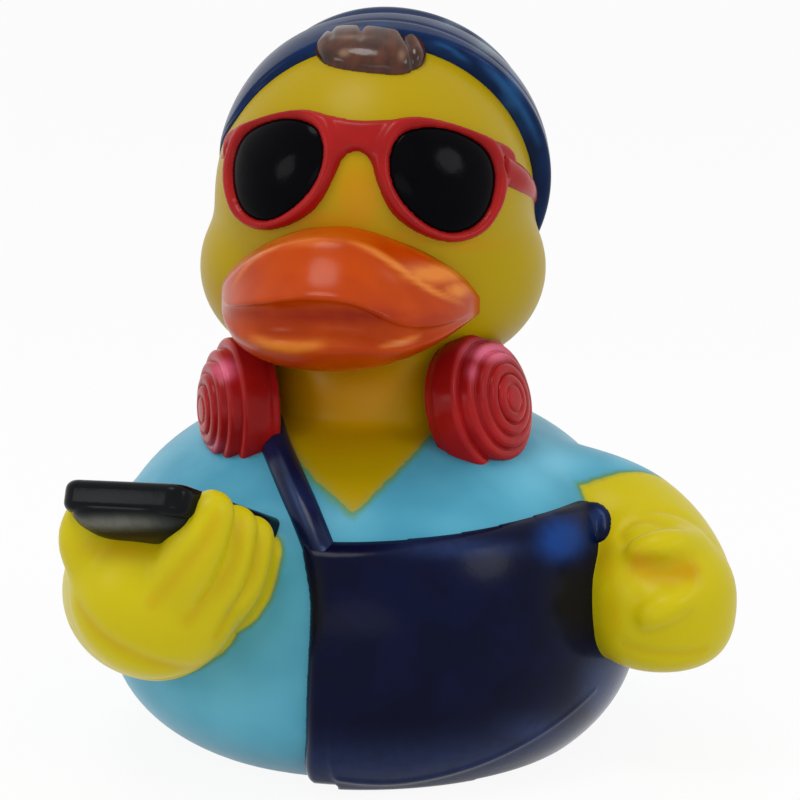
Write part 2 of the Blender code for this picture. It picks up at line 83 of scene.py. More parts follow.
# %% [markdown]
# ## Basic forms
# An egg is a sphere stretched three ways, and a limb is a round tube along a curve.
# They could be sculpted by hand, but eggs and limbs with plain numbers are easy to change.
# Each function gives points and faces, so that forms can be joined before Blender sees them.


# %% Eggs, limbs and joining
def egg(centre, radii, squareness=2.0, under=None, around=96):
    """A closed egg. A squareness above 2 fills its shoulders, and its lower half may have its own height and power."""
    bm = bmesh.new()
    bmesh.ops.create_uvsphere(bm, u_segments=around, v_segments=around // 2, radius=1)
    points = np.array([vert.co for vert in bm.verts])
    faces = [[vert.index for vert in face.verts] for face in bm.faces]
    bm.free()
    below = points[:, 2] < 0
    under = under or (radii[2], squareness)
    power = np.where(below, under[1], squareness)
    height = np.where(below, under[0], radii[2])
    level = np.hypot(points[:, 0], points[:, 1])
    reach = (np.abs(points[:, 2]) ** power + level**power) ** (1 / power)
    stretch = np.column_stack([np.full(len(points), radii[0]), np.full(len(points), radii[1]), height])
    return points * stretch / reach[:, None] + np.array(centre), faces


def limb(points, radii, sides=10, steps=10):
    """A tapering round tube along a curve that starts and ends at the first and last of its points."""
    curve = bpy.data.curves.new("limb", "CURVE")
    curve.dimensions = "3D"
    curve.resolution_u = steps
    curve.bevel_depth = 1
    curve.bevel_resolution = sides
    curve.use_fill_caps = True
    spline = curve.splines.new("NURBS")
    spline.points.add(len(points) - 1)
    for place, point, radius in zip(spline.points, points, radii):
        place.co = (*point, 1)
        place.radius = radius
    spline.order_u = 3
    spline.use_endpoint_u = True
    guide = bpy.data.objects.new("limb", curve)
    bpy.context.scene.collection.objects.link(guide)
    mesh = bpy.data.meshes.new_from_object(guide.evaluated_get(bpy.context.evaluated_depsgraph_get()))
    bpy.data.objects.remove(guide)
    bm = bmesh.new()
    bm.from_mesh(mesh)
    bmesh.ops.remove_doubles(bm, verts=bm.verts, dist=0.01)
    found = np.array([vert.co for vert in bm.verts]), [[vert.index for vert in face.verts] for face in bm.faces]
    bm.free()
    return found


def finger(points, radii):
    """A limb with a ball at its free end."""
    return joined([limb(points, radii), egg(points[-1], [radii[-1]] * 3, around=32)])


def joined(forms):
    """Several forms gathered as one."""
    points = np.concatenate([form[0] for form in forms])
    starts = np.cumsum([0] + [len(form[0]) for form in forms])
    faces = [[start + i for i in face] for form, start in zip(forms, starts) for face in form[1]]
    return points, faces


print("an egg has", len(egg((0, 0, 0), (1, 1, 1))[0]), "points")

# %% [markdown]
# ## Melting and softening
# In the mould, neighbouring forms run into each other with a soft fillet.
# A voxel remesh turns overlapping forms into one skin, and averaging each point with its neighbours rounds the joins.
# The averaging is written out here, so that its strength can differ from place to place.


# %% Melting and softening
def as_mesh(name, form):
    """A Blender mesh of a form."""
    mesh = bpy.data.meshes.new(name)
    mesh.from_pydata([tuple(point) for point in form[0]], [], form[1])
    return mesh


def form_of(mesh):
    """The points and faces of a Blender mesh."""
    points = np.empty(len(mesh.vertices) * 3, np.float32)
    mesh.vertices.foreach_get("co", points)
    return points.reshape(-1, 3).astype(float), [list(polygon.vertices) for polygon in mesh.polygons]


def modified(form, kind, **settings):
    """A form after one of Blender's modifiers."""
    guide = bpy.data.objects.new("guide", as_mesh("guide", form))
    bpy.context.scene.collection.objects.link(guide)
    modifier = guide.modifiers.new(kind.lower(), kind)
    for name, value in settings.items():
        setattr(modifier, name, value)
    evaluated = guide.evaluated_get(bpy.context.evaluated_depsgraph_get())
    found = form_of(evaluated.to_mesh())
    evaluated.to_mesh_clear()
    bpy.data.objects.remove(guide)
    return found


def edges_of(faces):
    """Each pair of neighbouring points once."""
    pairs = np.array([pair for face in faces for pair in zip(face, face[1:] + face[:1])])
    pairs.sort(axis=1)
    return np.unique(pairs, axis=0)


def softened(points, edges, rounds, amount=1.0):
    """Points moved towards the middle of their neighbours, again and again."""
    one, other = edges.T
    count = len(points)
    neighbours = np.bincount(edges.ravel(), minlength=count)[:, None]
    share = 0.5 * (amount[:, None] if isinstance(amount, np.ndarray) else amount)
    for _ in range(rounds):
        sums = [
            np.bincount(one, points[other, k], count) + np.bincount(other, points[one, k], count) for k in range(3)
        ]
        points = points + share * (np.column_stack(sums) / neighbours - points)
    return points


def normals_of(points, faces):
    """The outward direction at each point."""
    corners = np.array([face[:3] for face in faces])
    flat = np.cross(points[corners[:, 1]] - points[corners[:, 0]], points[corners[:, 2]] - points[corners[:, 0]])
    total = np.column_stack(
        [sum(np.bincount(corners[:, c], flat[:, k], len(points)) for c in range(3)) for k in range(3)]
    )
    return total / np.maximum(np.linalg.norm(total, axis=1, keepdims=True), 1e-12)


def facing_out(form, middle):
    """A form whose faces look away from a middle. An open sheet is made without knowing which side is outside."""
    points, faces = form
    outward = ((points - np.array(middle)) * normals_of(points, faces)).sum()
    return (points, faces) if outward > 0 else (points, [list(face)[::-1] for face in faces])


def ease(value, start, end):
    """0 before start, 1 after end, and a smooth rise between them."""
    share = np.clip((value - start) / (end - start), 0, 1)
    return share * share * (3 - 2 * share)


# %% [markdown]
# ## The skin: body, tail, neck, head, arms and hands
# These have the same sizes as the solid part. The body is an egg with squared shoulders and a flatter underside.
# The head is a skull over two full cheeks. Each hand is a rounded palm from which fingers rise.

# %% Sizes of the skin
BODY = np.array((-0.8, 3.0, 17.0))
BODY_RADII = (34.0, 36.0, 26.0)
BODY_SQUARENESS = 2.3
BODY_UNDER = (21.2, 2.6)
BODY_TOP = BODY[2] + BODY_RADII[2]
SKULL = np.array((0, 0, BODY_TOP + 24.0))
SKULL_RADII = (19.8, 20.5, 21.3)
CHEEK_RADII = (14.4, 15.5, 12.5)
CHEEKS = [SKULL + (across, 0, -8.3) for across in (-7.5, 7.0)]
NECK_RADIUS = 14.0
TAIL = ((0, 17.4, 17.0), (0, 39.0, 23.0), (0, 45.6, 35.0))
TAIL_RADII = (17.0, 10.3, 3.6)

RIGHT_ARM = (((-20, 2, 26), 11.0), ((-28, -8, 21), 9.4), ((-25.5, -24, 21.5), 9.4), ((-20, -34, 24), 9.2))
LEFT_ARM = (((17, 3, 26.8), 10.6), ((28, 0, 26.2), 10.2), ((34.5, -5, 23.3), 9.2), ((36.1, -11, 21.4), 8.9))
FINGER_RADII = (4.1, 3.7, 3.2, 2.7)
RIGHT_FINGERS = (
    ((-19.5, -39.5, 23.0), (-15.8, -43.2, 29.5), (-13.0, -44.2, 34.4), (-12.2, -43.0, 36.6)),
    ((-17.8, -37.0, 21.0), (-13.2, -39.4, 27.0), (-11.2, -39.4, 31.9), (-10.6, -38.2, 33.8)),
    ((-17.2, -34.6, 21.4), (-12.3, -35.5, 25.0), (-10.1, -35.4, 29.6), (-9.5, -34.0, 31.7)),
    ((-17.5, -31.8, 22.0), (-12.9, -31.8, 23.6), (-10.8, -31.0, 26.6), (-10.0, -29.6, 28.7)),
)
RIGHT_THUMB = ((-23.0, -36.0, 24.0), (-25.4, -38.0, 29.0), (-27.6, -39.4, 32.8), (-27.2, -39.6, 34.4))
THUMB_RADII = (6.0, 4.6, 3.4, 2.7)
LEFT_FINGER = ((39.5, -12.6, 26.2), (38.0, -16.4, 27.6), (35.5, -17.8, 27.8), (34.0, -17.6, 27.2))
LEFT_THUMB = ((40.5, -15.5, 22.2), (38.5, -19.2, 22.0), (36.4, -20.8, 21.2), (35.4, -20.6, 20.6))
PINCH_RADII = (3.2, 2.7, 2.4, 2.1)
PALM = ((-20.0, -37.0, 25.6), (9.8, 8.8, 9.6))
GRIP = ((-16.0, -31.0, 28.5), (6.6, 7.5, 6.0))
WEBS = (((-24.0, -37.6, 29.8), (5.4, 5.2, 5.4)), ((-16.8, -39.0, 29.5), (4.6, 4.8, 6.0)))
FIST = ((36.2, -12.2, 20.8), (9.2, 9.2, 8.7), 2.0, (8.8, 2.8))

SKIN_CELL = 0.36
HAND_ROUNDS = 15
BODY_ROUNDS = 50
SKIN_TRIANGLES = 190000


# %% Melting the skin
def arm_form(arm):
    points, radii = zip(*arm)
    return limb(points, radii, sides=16, steps=16)


trunk = joined([
    egg(BODY, BODY_RADII, BODY_SQUARENESS, BODY_UNDER, around=160),
    egg((0, 0, BODY_TOP), (NECK_RADIUS, NECK_RADIUS, 13.0)),
    egg(SKULL, SKULL_RADII, around=128),
    *[egg(cheek, CHEEK_RADII) for cheek in CHEEKS],
    limb(TAIL, TAIL_RADII, sides=16, steps=16),
    egg(TAIL[-1], [TAIL_RADII[-1]] * 3),
])
right_hand = joined(
    [egg(*PALM), egg(*GRIP), *[egg(*web) for web in WEBS], arm_form(RIGHT_ARM), finger(RIGHT_THUMB, THUMB_RADII)]
    + [finger(points, FINGER_RADII) for points in RIGHT_FINGERS]
)
left_hand = joined([egg(*FIST), arm_form(LEFT_ARM), finger(LEFT_FINGER, PINCH_RADII), finger(LEFT_THUMB, PINCH_RADII)])

skin_points, skin_faces = modified(joined([trunk, right_hand, left_hand]), "REMESH", mode="VOXEL", voxel_size=SKIN_CELL)
skin_edges = edges_of(skin_faces)
print("melted skin:", len(skin_points), "points")


# %% [markdown]
# A hand needs its fingers, so it is softened little. The head, neck and body are softened much more.
# How near a point is to a hand comes from its distance to a few balls inside the hand.


# %% Softening the skin
def near_balls(points, balls):
    """How far outside the nearest of some balls each point lies, in millimetres."""
    return np.min([np.linalg.norm(points - np.array(centre), axis=1) - radius for centre, radius in balls], axis=0)


def ball_row(points, radii, count=24):
    """Balls along a limb."""
    ends = np.linspace(0, 1, len(points))
    shares = np.linspace(0, 1, count)
    path = np.column_stack([np.interp(shares, ends, np.array(points)[:, k]) for k in range(3)])
    return list(zip(path, np.interp(shares, ends, radii)))


right_arm_balls = ball_row(*zip(*RIGHT_ARM)) + [(PALM[0], 9.6), (GRIP[0], 6.6)] + ball_row(RIGHT_THUMB, THUMB_RADII)
right_arm_balls += [(centre, 5.2) for centre, _ in WEBS]
for row in RIGHT_FINGERS:
    right_arm_balls += ball_row(row, FINGER_RADII, 8)
left_arm_balls = ball_row(*zip(*LEFT_ARM)) + [(FIST[0], 9.8)] + ball_row(LEFT_FINGER, PINCH_RADII, 8)
left_arm_balls += ball_row(LEFT_THUMB, PINCH_RADII, 8)
RIGHT_PALM_BALL = [((-19, -37, 27), 12.0)]
LEFT_PALM_BALL = [((38, -14, 22), 11.0)]

near_hand = np.minimum(near_balls(skin_points, RIGHT_PALM_BALL), near_balls(skin_points, LEFT_PALM_BALL))
skin_points = softened(skin_points, skin_edges, HAND_ROUNDS)
skin_points = softened(skin_points, skin_edges, BODY_ROUNDS, ease(near_hand, 0.5, 8.0))
print("softened skin spans", skin_points.min(axis=0).round(1), skin_points.max(axis=0).round(1))


# %% [markdown]
# The photo shows shallow creases between the fingers and round the left fist.
# They are given where the photo shows them, and a ray from the camera finds the same places on the skin.
# Each crease then presses the skin in, most along its line and less with distance.


# %% Creases of the hands
class Ground:
    """A surface on which places can be looked up."""

    def __init__(self, points, faces):
        self.points = points
        self.faces = faces
        self.normals = normals_of(points, faces)
        self.tree = BVHTree.FromPolygons([tuple(point) for point in points], faces)

    def _smooth_normal(self, place, index):
        corners = self.faces[index]
        nearness = 1 / (np.linalg.norm(self.points[corners] - place, axis=1) + 0.01)
        total = (self.normals[corners] * nearness[:, None]).sum(axis=0)
        return total / np.linalg.norm(total)

    def hit(self, start, direction):
        """The place and outward direction where a ray meets the surface, or None."""
        place, _, index, _ = self.tree.ray_cast(Vector(start), Vector(direction))
        return None if place is None else (np.array(place), self._smooth_normal(np.array(place), index))

    def nearest(self, start):
        """The nearest place of the surface and its outward direction."""
        place, _, index, _ = self.tree.find_nearest(Vector(start))
        return np.array(place), self._smooth_normal(np.array(place), index)


def seen(ground, across, down):
    """The place of a surface that the photo shows at a pixel."""
    direction = FORWARD + (RIGHT * (across - PICTURE / 2) + UP * (PICTURE / 2 - down)) / FOCAL_PIXELS
    direction.normalize()
    return (ground.hit(EYE, direction) or ground.nearest(EYE + direction * VIEW_DISTANCE))[0]


def line_distance(points, line, closed=False):
    """Distance from each point to a line of points, and how far along the line, from 0 to 1."""
    line = np.asarray(line, float)
    if closed:
        line = np.vstack([line, line[:1]])
    best = np.full(len(points), np.inf)
    along = np.zeros(len(points))
    for index, (start, end) in enumerate(zip(line, line[1:])):
        step = end - start
        share = np.clip(((points - start) @ step) / max(step @ step, 1e-12), 0, 1)
        gap = np.linalg.norm(points - start - share[:, None] * step, axis=1)
        closer = gap < best
        best[closer] = gap[closer]
        along[closer] = ((index + share) / (len(line) - 1))[closer]
    return best, along


CREASES = (
    (((217, 517), (205, 545), (182, 571), (152, 603)), 0.55, 1.2),
    (((240, 524), (237, 556), (219, 588), (188, 620)), 0.5, 1.1),
    (((258, 545), (254, 576), (238, 603), (216, 636)), 0.45, 1.0),
    (((78, 606), (100, 636), (132, 655), (168, 667), (196, 668)), 0.5, 1.2),
    (((626, 545), (620, 533), (630, 522), (646, 519), (662, 524), (684, 531)), 0.4, 0.8),
    (((640, 513), (656, 509), (679, 514), (702, 529)), 0.3, 0.8),
    (((638, 564), (652, 570), (670, 573), (690, 570)), 0.9, 2.0),
    (((638, 632), (652, 635), (672, 626), (692, 611)), 0.3, 0.8),
    (((625, 645), (655, 654), (684, 655), (706, 649)), 0.4, 0.9),
)
ground = Ground(skin_points, skin_faces)
crease_lines = [[seen(ground, *pixel) for pixel in line] for line, _, _ in CREASES]
for line, (_, depth, width) in zip(crease_lines, CREASES):
    gap, along = line_distance(skin_points, line)
    fade = np.sin(np.pi * np.clip(along * 0.9 + 0.1, 0, 1)) ** 0.6
    skin_points = skin_points - ground.normals * (depth * fade * np.exp(-((gap / width) ** 2)))[:, None]
skin_points = softened(skin_points, skin_edges, 3)
print(len(CREASES), "creases pressed in")

# %% [markdown]
# ## The skin as a finished mesh
# The melted skin has more faces than it needs where it is nearly flat. Decimation keeps them where it curves.
# The underside is cut off flat at the floor, as the mould leaves it.


# %% Thinning and cutting the skin
def cut_flat(form):
    """A form without what lies below the floor, and closed there."""
    bm = bmesh.new()
    mesh = as_mesh("cut", form)
    bm.from_mesh(mesh)
    every = list(bm.verts) + list(bm.edges) + list(bm.faces)
    cut = bmesh.ops.bisect_plane(bm, geom=every, plane_co=(0, 0, 0), plane_no=(0, 0, -1), clear_outer=True)
    rim = [item for item in cut["geom_cut"] if isinstance(item, bmesh.types.BMEdge)]
    bmesh.ops.contextual_create(bm, geom=rim)
    bm.to_mesh(mesh)
    bm.free()
    return form_of(mesh)


ground = Ground(skin_points, skin_faces)
kept = SKIN_TRIANGLES / (2 * len(skin_faces))
skin = cut_flat(modified((skin_points, skin_faces), "DECIMATE", ratio=kept))
print("finished skin:", len(skin[1]), "faces")

# %% [markdown]
# ## Low reliefs
# Glasses, lenses, hair and bag are low reliefs: they follow what they lie on and have a round shoulder at their edge.
# They could be cut with Booleans, but those leave sharp edges and long thin faces.
# Here an outline is filled with a fine even net, and each point of the net is lifted off the surface below it.
# How high depends only on its distance to the outline, which gives the shoulder.


# %% Outlines and nets
def smooth_outline(points, spacing, closed=True):
    """A smooth line through points, as evenly spaced points."""
    points = np.asarray(points, float)
    count = len(points)
    fine = []
    for i in range(count if closed else count - 1):
        before, start, end, after = [
            points[(i + k) % count] if closed else points[min(max(i + k, 0), count - 1)] for k in (-1, 0, 1, 2)
        ]
        for t in np.linspace(0, 1, 24, endpoint=False):
            pull = (2 * start + (end - before) * t + (2 * before - 5 * start + 4 * end - after) * t * t)
            fine.append((pull + (3 * start - before - 3 * end + after) * t**3) / 2)
    fine = np.array(fine + [fine[0] if closed else points[-1]])
    lengths = np.concatenate([[0], np.cumsum(np.linalg.norm(np.diff(fine, axis=0), axis=1))])
    marks = np.linspace(0, lengths[-1], max(int(lengths[-1] / spacing), 3) + 1)
    marks = marks[:-1] if closed else marks
    return np.column_stack([np.interp(marks, lengths, fine[:, k]) for k in range(fine.shape[1])])


def inside(points, outline):
    """Whether each point lies inside a closed outline."""
    x, y = points.T
    found = np.zeros(len(points), bool)
    for (x1, y1), (x2, y2) in zip(outline, np.roll(outline, -1, axis=0)):
        if y1 != y2:
            found ^= ((y1 > y) != (y2 > y)) & (x < (x2 - x1) * (y - y1) / (y2 - y1) + x1)
    return found


def net(outline, holes=(), spacing=0.3):
    """A fine even net of triangles inside an outline and outside its holes."""
    loops = [np.asarray(outline)] + [np.asarray(hole) for hole in holes]
    low, high = loops[0].min(axis=0), loops[0].max(axis=0)
    rows = np.arange(low[1], high[1], spacing * math.sqrt(3) / 2)
    columns = np.arange(low[0], high[0], spacing)
    grid = np.array([(x + spacing / 2 * (k % 2), y) for k, y in enumerate(rows) for x in columns])
    wanted = inside(grid, loops[0])
    for hole in loops[1:]:
        wanted &= ~inside(grid, hole)
    grid = grid[wanted]
    for loop in loops:
        grid = grid[line_distance(grid, loop, closed=True)[0] > spacing * 0.55]
    points = np.vstack(loops + [grid])
    starts = np.cumsum([0] + [len(loop) for loop in loops])
    edges = [
        (int(start + i), int(start + (i + 1) % len(loop))) for loop, start in zip(loops, starts) for i in range(len(loop))
    ]
    filled = delaunay_2d_cdt([Vector(point) for point in points], edges, [], 0, 1e-6, False)
    points = np.array([tuple(point) for point in filled[0]])
    faces = np.array([list(face) for face in filled[2]])
    middles = points[faces].mean(axis=1)
    wanted = inside(middles, loops[0])
    for hole in loops[1:]:
        wanted &= ~inside(middles, hole)
    return points, faces[wanted].tolist()


def shoulder(distance, width):
    """The height, from 0 to 1, of a quarter-round edge of some width."""
    share = np.clip(distance / width, 0, 1)
    return np.sqrt(1 - (1 - share) ** 2)


def lifted(ground, flat, heights, far=120.0):
    """Points of the front view laid on a surface and raised off it along its outward direction."""
    placed = []
    for (x, z), height in zip(flat, heights):
        found = ground.hit((x, -far, z), (0, 1, 0))
        if found is None or found[1][1] > -0.25:
            found = ground.nearest((x, found[0][1] if found else SKULL[1] - 4, z))
        placed.append(found[0] + found[1] * height)
    return np.array(placed)


def wrapped(ground, net_points, heights, radius):
    """Points given as (turn round the skull in millimetres, height), laid on a surface and raised off it."""
    placed = []
    for (turn, z), height in zip(net_points, heights):
        out = np.array((math.sin(turn / radius), -math.cos(turn / radius), 0))
        place, normal = ground.hit((*(out[:2] * 60), z), -out)
        placed.append(place + normal * height)
    return np.array(placed)


def turned(points, place, tilt):
    """Points of the front view turned by an angle and moved to a place."""
    points = np.asarray(points, float)
    cos, sin = math.cos(tilt), math.sin(tilt)
    return np.column_stack([points[:, 0] * cos + points[:, 1] * sin, points[:, 1] * cos - points[:, 0] * sin]) + place


# %% [markdown]
# ## Sunglasses
# The frame is a flat moulding with a raised bead round each lens. Its outline is drawn as one half and mirrored.
# The lenses are shallow black domes, and the side arms run back along the temples.

# %% Sunglasses
GLASSES_PLACE = np.array((SKULL[0] + 0.4, SKULL[2] + 4.5))
GLASSES_TILT = math.radians(2.9)
HALF_FRAME = (
    (0, 6.3), (3.7, 6.6), (7.3, 6.9), (10.8, 6.3), (14.6, 4.9), (17.4, 3.6), (18.4, 1.6), (17.6, -1.2),
    (16.6, -3.8), (15.3, -6.0), (13.5, -7.1), (11.2, -7.4), (8.7, -6.8), (6.3, -5.6), (4.2, -3.8), (2.6, -0.8),
    (1.5, 1.8), (0, 2.6),
)
LENS_OUTLINE = (
    (4.1, 2.0), (5.2, 4.6), (8.2, 5.4), (11.5, 4.9), (14.6, 3.2), (15.9, 0.4), (15.2, -3.3), (13.4, -5.4),
    (10.6, -5.8), (7.6, -4.3), (5.0, -1.4),
)
WRAP_RADIUS = 20.8
FRAME_PROUD = 1.3
FRAME_SUNK = 0.6
FRAME_SHOULDER = 0.9
BEAD_WIDTH = 1.9
BEAD_RISE = 0.45
LENS_EDGE = 0.35
LENS_CROWN = 0.8
LENS_UNDER = 0.4
RIVETS = ((17.1, 1.1), (-17.1, 1.1))
RIVET_RADIUS = 0.75



def round_skull(points):
    """Points of the glasses' front view as (turn round the skull in millimetres, height)."""
    points = turned(points, GLASSES_PLACE, GLASSES_TILT)
    level = np.sqrt(1 - ((points[:, 1] - SKULL[2]) / SKULL_RADII[2]) ** 2)
    radius = (SKULL_RADII[0] * level + FRAME_PROUD).clip(19.2, WRAP_RADIUS)
    return np.column_stack([WRAP_RADIUS * np.arcsin(points[:, 0] / radius), points[:, 1]])


half = [tuple(point) for point in HALF_FRAME]
frame_line = smooth_outline(round_skull(half + [(-x, z) for x, z in reversed(half[1:-1])]), 0.28)
lens_lines = [smooth_outline(round_skull([(side * x, z) for x, z in LENS_OUTLINE]), 0.28) for side in (1, -1)]
frame_net, frame_faces = net(frame_line, lens_lines, 0.28)
to_edge = line_distance(frame_net, frame_line, closed=True)[0]
to_lens = np.min([line_distance(frame_net, line, closed=True)[0] for line in lens_lines], axis=0)
rise = np.minimum(shoulder(to_edge, FRAME_SHOULDER), shoulder(to_lens, FRAME_SHOULDER))
bead = 1 - ease(to_lens, BEAD_WIDTH * 0.7, BEAD_WIDTH * 1.3)
frame_heights = -FRAME_SUNK + rise * (FRAME_PROUD - BEAD_RISE + FRAME_SUNK + BEAD_RISE * bead)
for rivet in round_skull(RIVETS):
    away = np.linalg.norm(frame_net - rivet, axis=1)
    frame_heights -= 0.25 * np.exp(-(((away - RIVET_RADIUS) / 0.22) ** 2))
glasses_frame = facing_out((wrapped(ground, frame_net, frame_heights, WRAP_RADIUS), frame_faces), SKULL)

lens_forms = []
for line in lens_lines:
    middle = line.mean(axis=0)
    reach = np.linalg.norm(line - middle, axis=1, keepdims=True)
    rim = middle + (line - middle) * (reach + LENS_UNDER) / reach
    lens_net, lens_faces = net(rim, (), 0.3)
    depth = line_distance(lens_net, rim, closed=True)[0]
    heights = LENS_EDGE + LENS_CROWN * shoulder(depth, depth.max())
    lens_forms.append(facing_out((wrapped(ground, lens_net, heights, WRAP_RADIUS), lens_faces), SKULL))
print("frame:", len(frame_faces), "faces, lenses:", [len(form[1]) for form in lens_forms])

# %% Side arms of the sunglasses
ARM_RADII = (2.1, 2.0, 1.7, 1.4, 1.2)
ARM_SUNK = {-1: 2.0, 1: 0.9}
ARM_DROP = 4.6
HINGE = (17.4, 1.2)
ARM_TURNS = np.radians(np.linspace(58, 96, 5))

arm_forms = []
for side in (-1, 1):
    hinge_z = GLASSES_PLACE[1] + HINGE[1] - side * HINGE[0] * math.sin(GLASSES_TILT)
    points = []
    for turn, share in zip(ARM_TURNS, np.linspace(0, 1, len(ARM_TURNS))):
        z = hinge_z - ARM_DROP * share
        level = math.sqrt(1 - ((z - SKULL[2]) / SKULL_RADII[2]) ** 2)
        across = side * (SKULL_RADII[0] - ARM_SUNK[side]) * level * math.sin(turn)
        points.append((across, -(SKULL_RADII[1] - ARM_SUNK[side]) * level * math.cos(turn), z))
    arm_forms.append(limb(points, ARM_RADII, sides=8, steps=12))

# %% [markdown]
# ## Bill
# The bill is lofted from one corner of the mouth to the other through sections seen from the side.
# Its upper lip has a rim: in front of the rim the face falls, slightly hollow, to the mouth, and behind it the top
# slopes back to the cheeks. Below the mouth the lower lip is hollow too, and then swells to a round rim of its own.
# Heights of the top, rim, mouth and chin change across the bill, so each is a curve through a few measured points.

# %% Bill
BILL_MIDDLE = SKULL + (-1.2, 0, -10.6)
BILL_HALF_WIDTH = 15.5
BILL_TILT = math.radians(2.9)
BILL_TOP = (
    (-1.0, 0.5), (-0.94, 1.9), (-0.87, 3.2), (-0.75, 4.9), (-0.61, 6.4), (-0.46, 7.6), (-0.31, 8.5), (-0.14, 9.0),
    (0.03, 9.2), (0.22, 8.7), (0.41, 7.7), (0.54, 6.9), (0.66, 5.9), (0.82, 4.2), (0.92, 2.6), (1.0, 0.9),
)
BILL_RIM = (
    (-1.0, 0.3), (-0.92, 1.6), (-0.83, 3.0), (-0.69, 4.9), (-0.48, 6.9), (-0.2, 8.3), (0.03, 8.5), (0.2, 7.8),
    (0.34, 6.7), (0.48, 5.3), (0.59, 4.0), (0.69, 2.8), (0.83, 1.6), (0.92, 0.8), (1.0, 0.4),
)
BILL_MOUTH = (
    (-1.0, -0.4), (-0.86, -0.7), (-0.7, -0.1), (-0.55, 0.5), (-0.35, 1.2), (-0.15, 1.7), (0.1, 1.7), (0.25, 1.2),
    (0.38, 0.2), (0.5, -0.6), (0.63, -1.0), (0.77, -1.0), (0.92, -0.6), (1.0, -0.2),
)
BILL_CHIN = (
    (-1.0, -1.6), (-0.95, -2.8), (-0.88, -4.2), (-0.76, -5.7), (-0.61, -6.6), (-0.46, -7.1), (-0.23, -7.4),
    (0.04, -7.3), (0.3, -6.6), (0.45, -5.8), (0.59, -4.9), (0.77, -3.4), (0.87, -2.3), (0.95, -1.4), (1.0, -0.9),
)
BILL_CORNER_Y = -12.0
BILL_ROOT_Y = -7.0
BILL_LIP_Y = -32.4
BILL_RIM_Y = -27.2
BILL_CREST_Y = -21.5
BILL_LOWER_Y = -30.4
BILL_CHIN_Y = -21.5
MOUTH_DEPTH = 2.6
LOWER_RIM_SHARE = 0.52
BILL_STATIONS = 110
BILL_POINTS = 90


def height_curve(points):
    """A smooth height across the bill through measured (place, height) points."""
    line = smooth_outline(points, 0.02, closed=False)
    order = np.argsort(line[:, 0])
    return lambda across: float(np.interp(across, line[order, 0], line[order, 1]))


bill_top, bill_rim, bill_mouth, bill_chin = [
    height_curve(points) for points in (BILL_TOP, BILL_RIM, BILL_MOUTH, BILL_CHIN)
]


def bill_section(across):
    """The bill from the side at a place across it, from -1 to 1, as (depth, height) points."""
    fullness = 1 - abs(across) ** 2.4

    def reach(depth, power):
        return BILL_CORNER_Y + (depth - BILL_CORNER_Y) * fullness**power

    top, rim, mouth, chin = bill_top(across), bill_rim(across), bill_mouth(across), bill_chin(across)
    lip, rim_y, crest = reach(BILL_LIP_Y, 0.6), reach(BILL_RIM_Y, 0.5), reach(BILL_CREST_Y, 0.45)
    lower, chin_y = reach(BILL_LOWER_Y, 0.58), reach(BILL_CHIN_Y, 0.6)
    crease = lip + MOUTH_DEPTH * fullness
    swell = mouth + (chin - mouth) * LOWER_RIM_SHARE
    return [
        (BILL_ROOT_Y, top),
        (crest + 1.5 * fullness, top + 0.1),
        (crest - (crest - rim_y) * 0.3, top - (top - rim) * 0.2),
        (rim_y + 0.5 * fullness, rim + 0.15 * fullness),
        (rim_y - 0.35 * fullness, rim - 0.45 * fullness),
        (rim_y + (lip - rim_y) * 0.3, rim + (mouth - rim) * 0.35),
        (rim_y + (lip - rim_y) * 0.72, rim + (mouth - rim) * 0.72),
        (lip, mouth + 0.75 * fullness),
        (lip + 0.15 * fullness, mouth + 0.3 * fullness),
        (crease, mouth),
        (crease + 0.25 * fullness, mouth + (swell - mouth) * 0.35),
        (lower + 1.1 * fullness, mouth + (swell - mouth) * 0.72),
        (lower, swell),
        (lower + 0.3 * fullness, swell + (chin - swell) * 0.25),
        (lower + (chin_y - lower) * 0.4, swell + (chin - swell) * 0.78),
        (chin_y, chin),
        (BILL_ROOT_Y, chin + 0.5 * fullness),
    ]


rings = []
for across in -np.cos(np.linspace(0, math.pi, BILL_STATIONS)) * 0.999:
    section = smooth_outline(bill_section(across), 0.4, closed=False)
    shares = np.linspace(0, 1, len(section))
    marks = np.linspace(0, 1, BILL_POINTS)
    section = np.column_stack([np.interp(marks, shares, section[:, k]) for k in range(2)])
    flat = np.column_stack([np.full(BILL_POINTS, across * BILL_HALF_WIDTH), section[:, 1]])
    place = turned(flat, (0, 0), BILL_TILT)
    rings.append(np.column_stack([place[:, 0], section[:, 0], place[:, 1]]) + BILL_MIDDLE)
for end in (0, -1):
    middle = rings[end].mean(axis=0)
    rings.insert(0 if end == 0 else len(rings), middle + (rings[end] - middle) * 0.02)


def skinned(rings, closed=False):
    """A sheet of quads through rows of points. Closed rows join their last point to their first."""
    count = len(rings[0])
    last = count if closed else count - 1
    faces = [
        [r * count + i, (r + 1) * count + i, (r + 1) * count + (i + 1) % count, r * count + (i + 1) % count]
        for r in range(len(rings) - 1)
        for i in range(last)
    ]
    return np.concatenate(rings), faces


bill = skinned(rings)
bill = facing_out((softened(bill[0], edges_of(bill[1]), 2), bill[1]), bill[0].mean(axis=0))
print("bill:", len(bill[1]), "faces")

# %% [markdown]
# ## Cap
# A soft cap hugs the back of the head, with a folded cuff along its brim.
# It is a stack of rings behind the leaning brim. Each ring runs where its plane cuts the cap's egg or the skull.
# A profile then adds the cuff: a rolled front edge, two faint folds, and a step down to the crown.

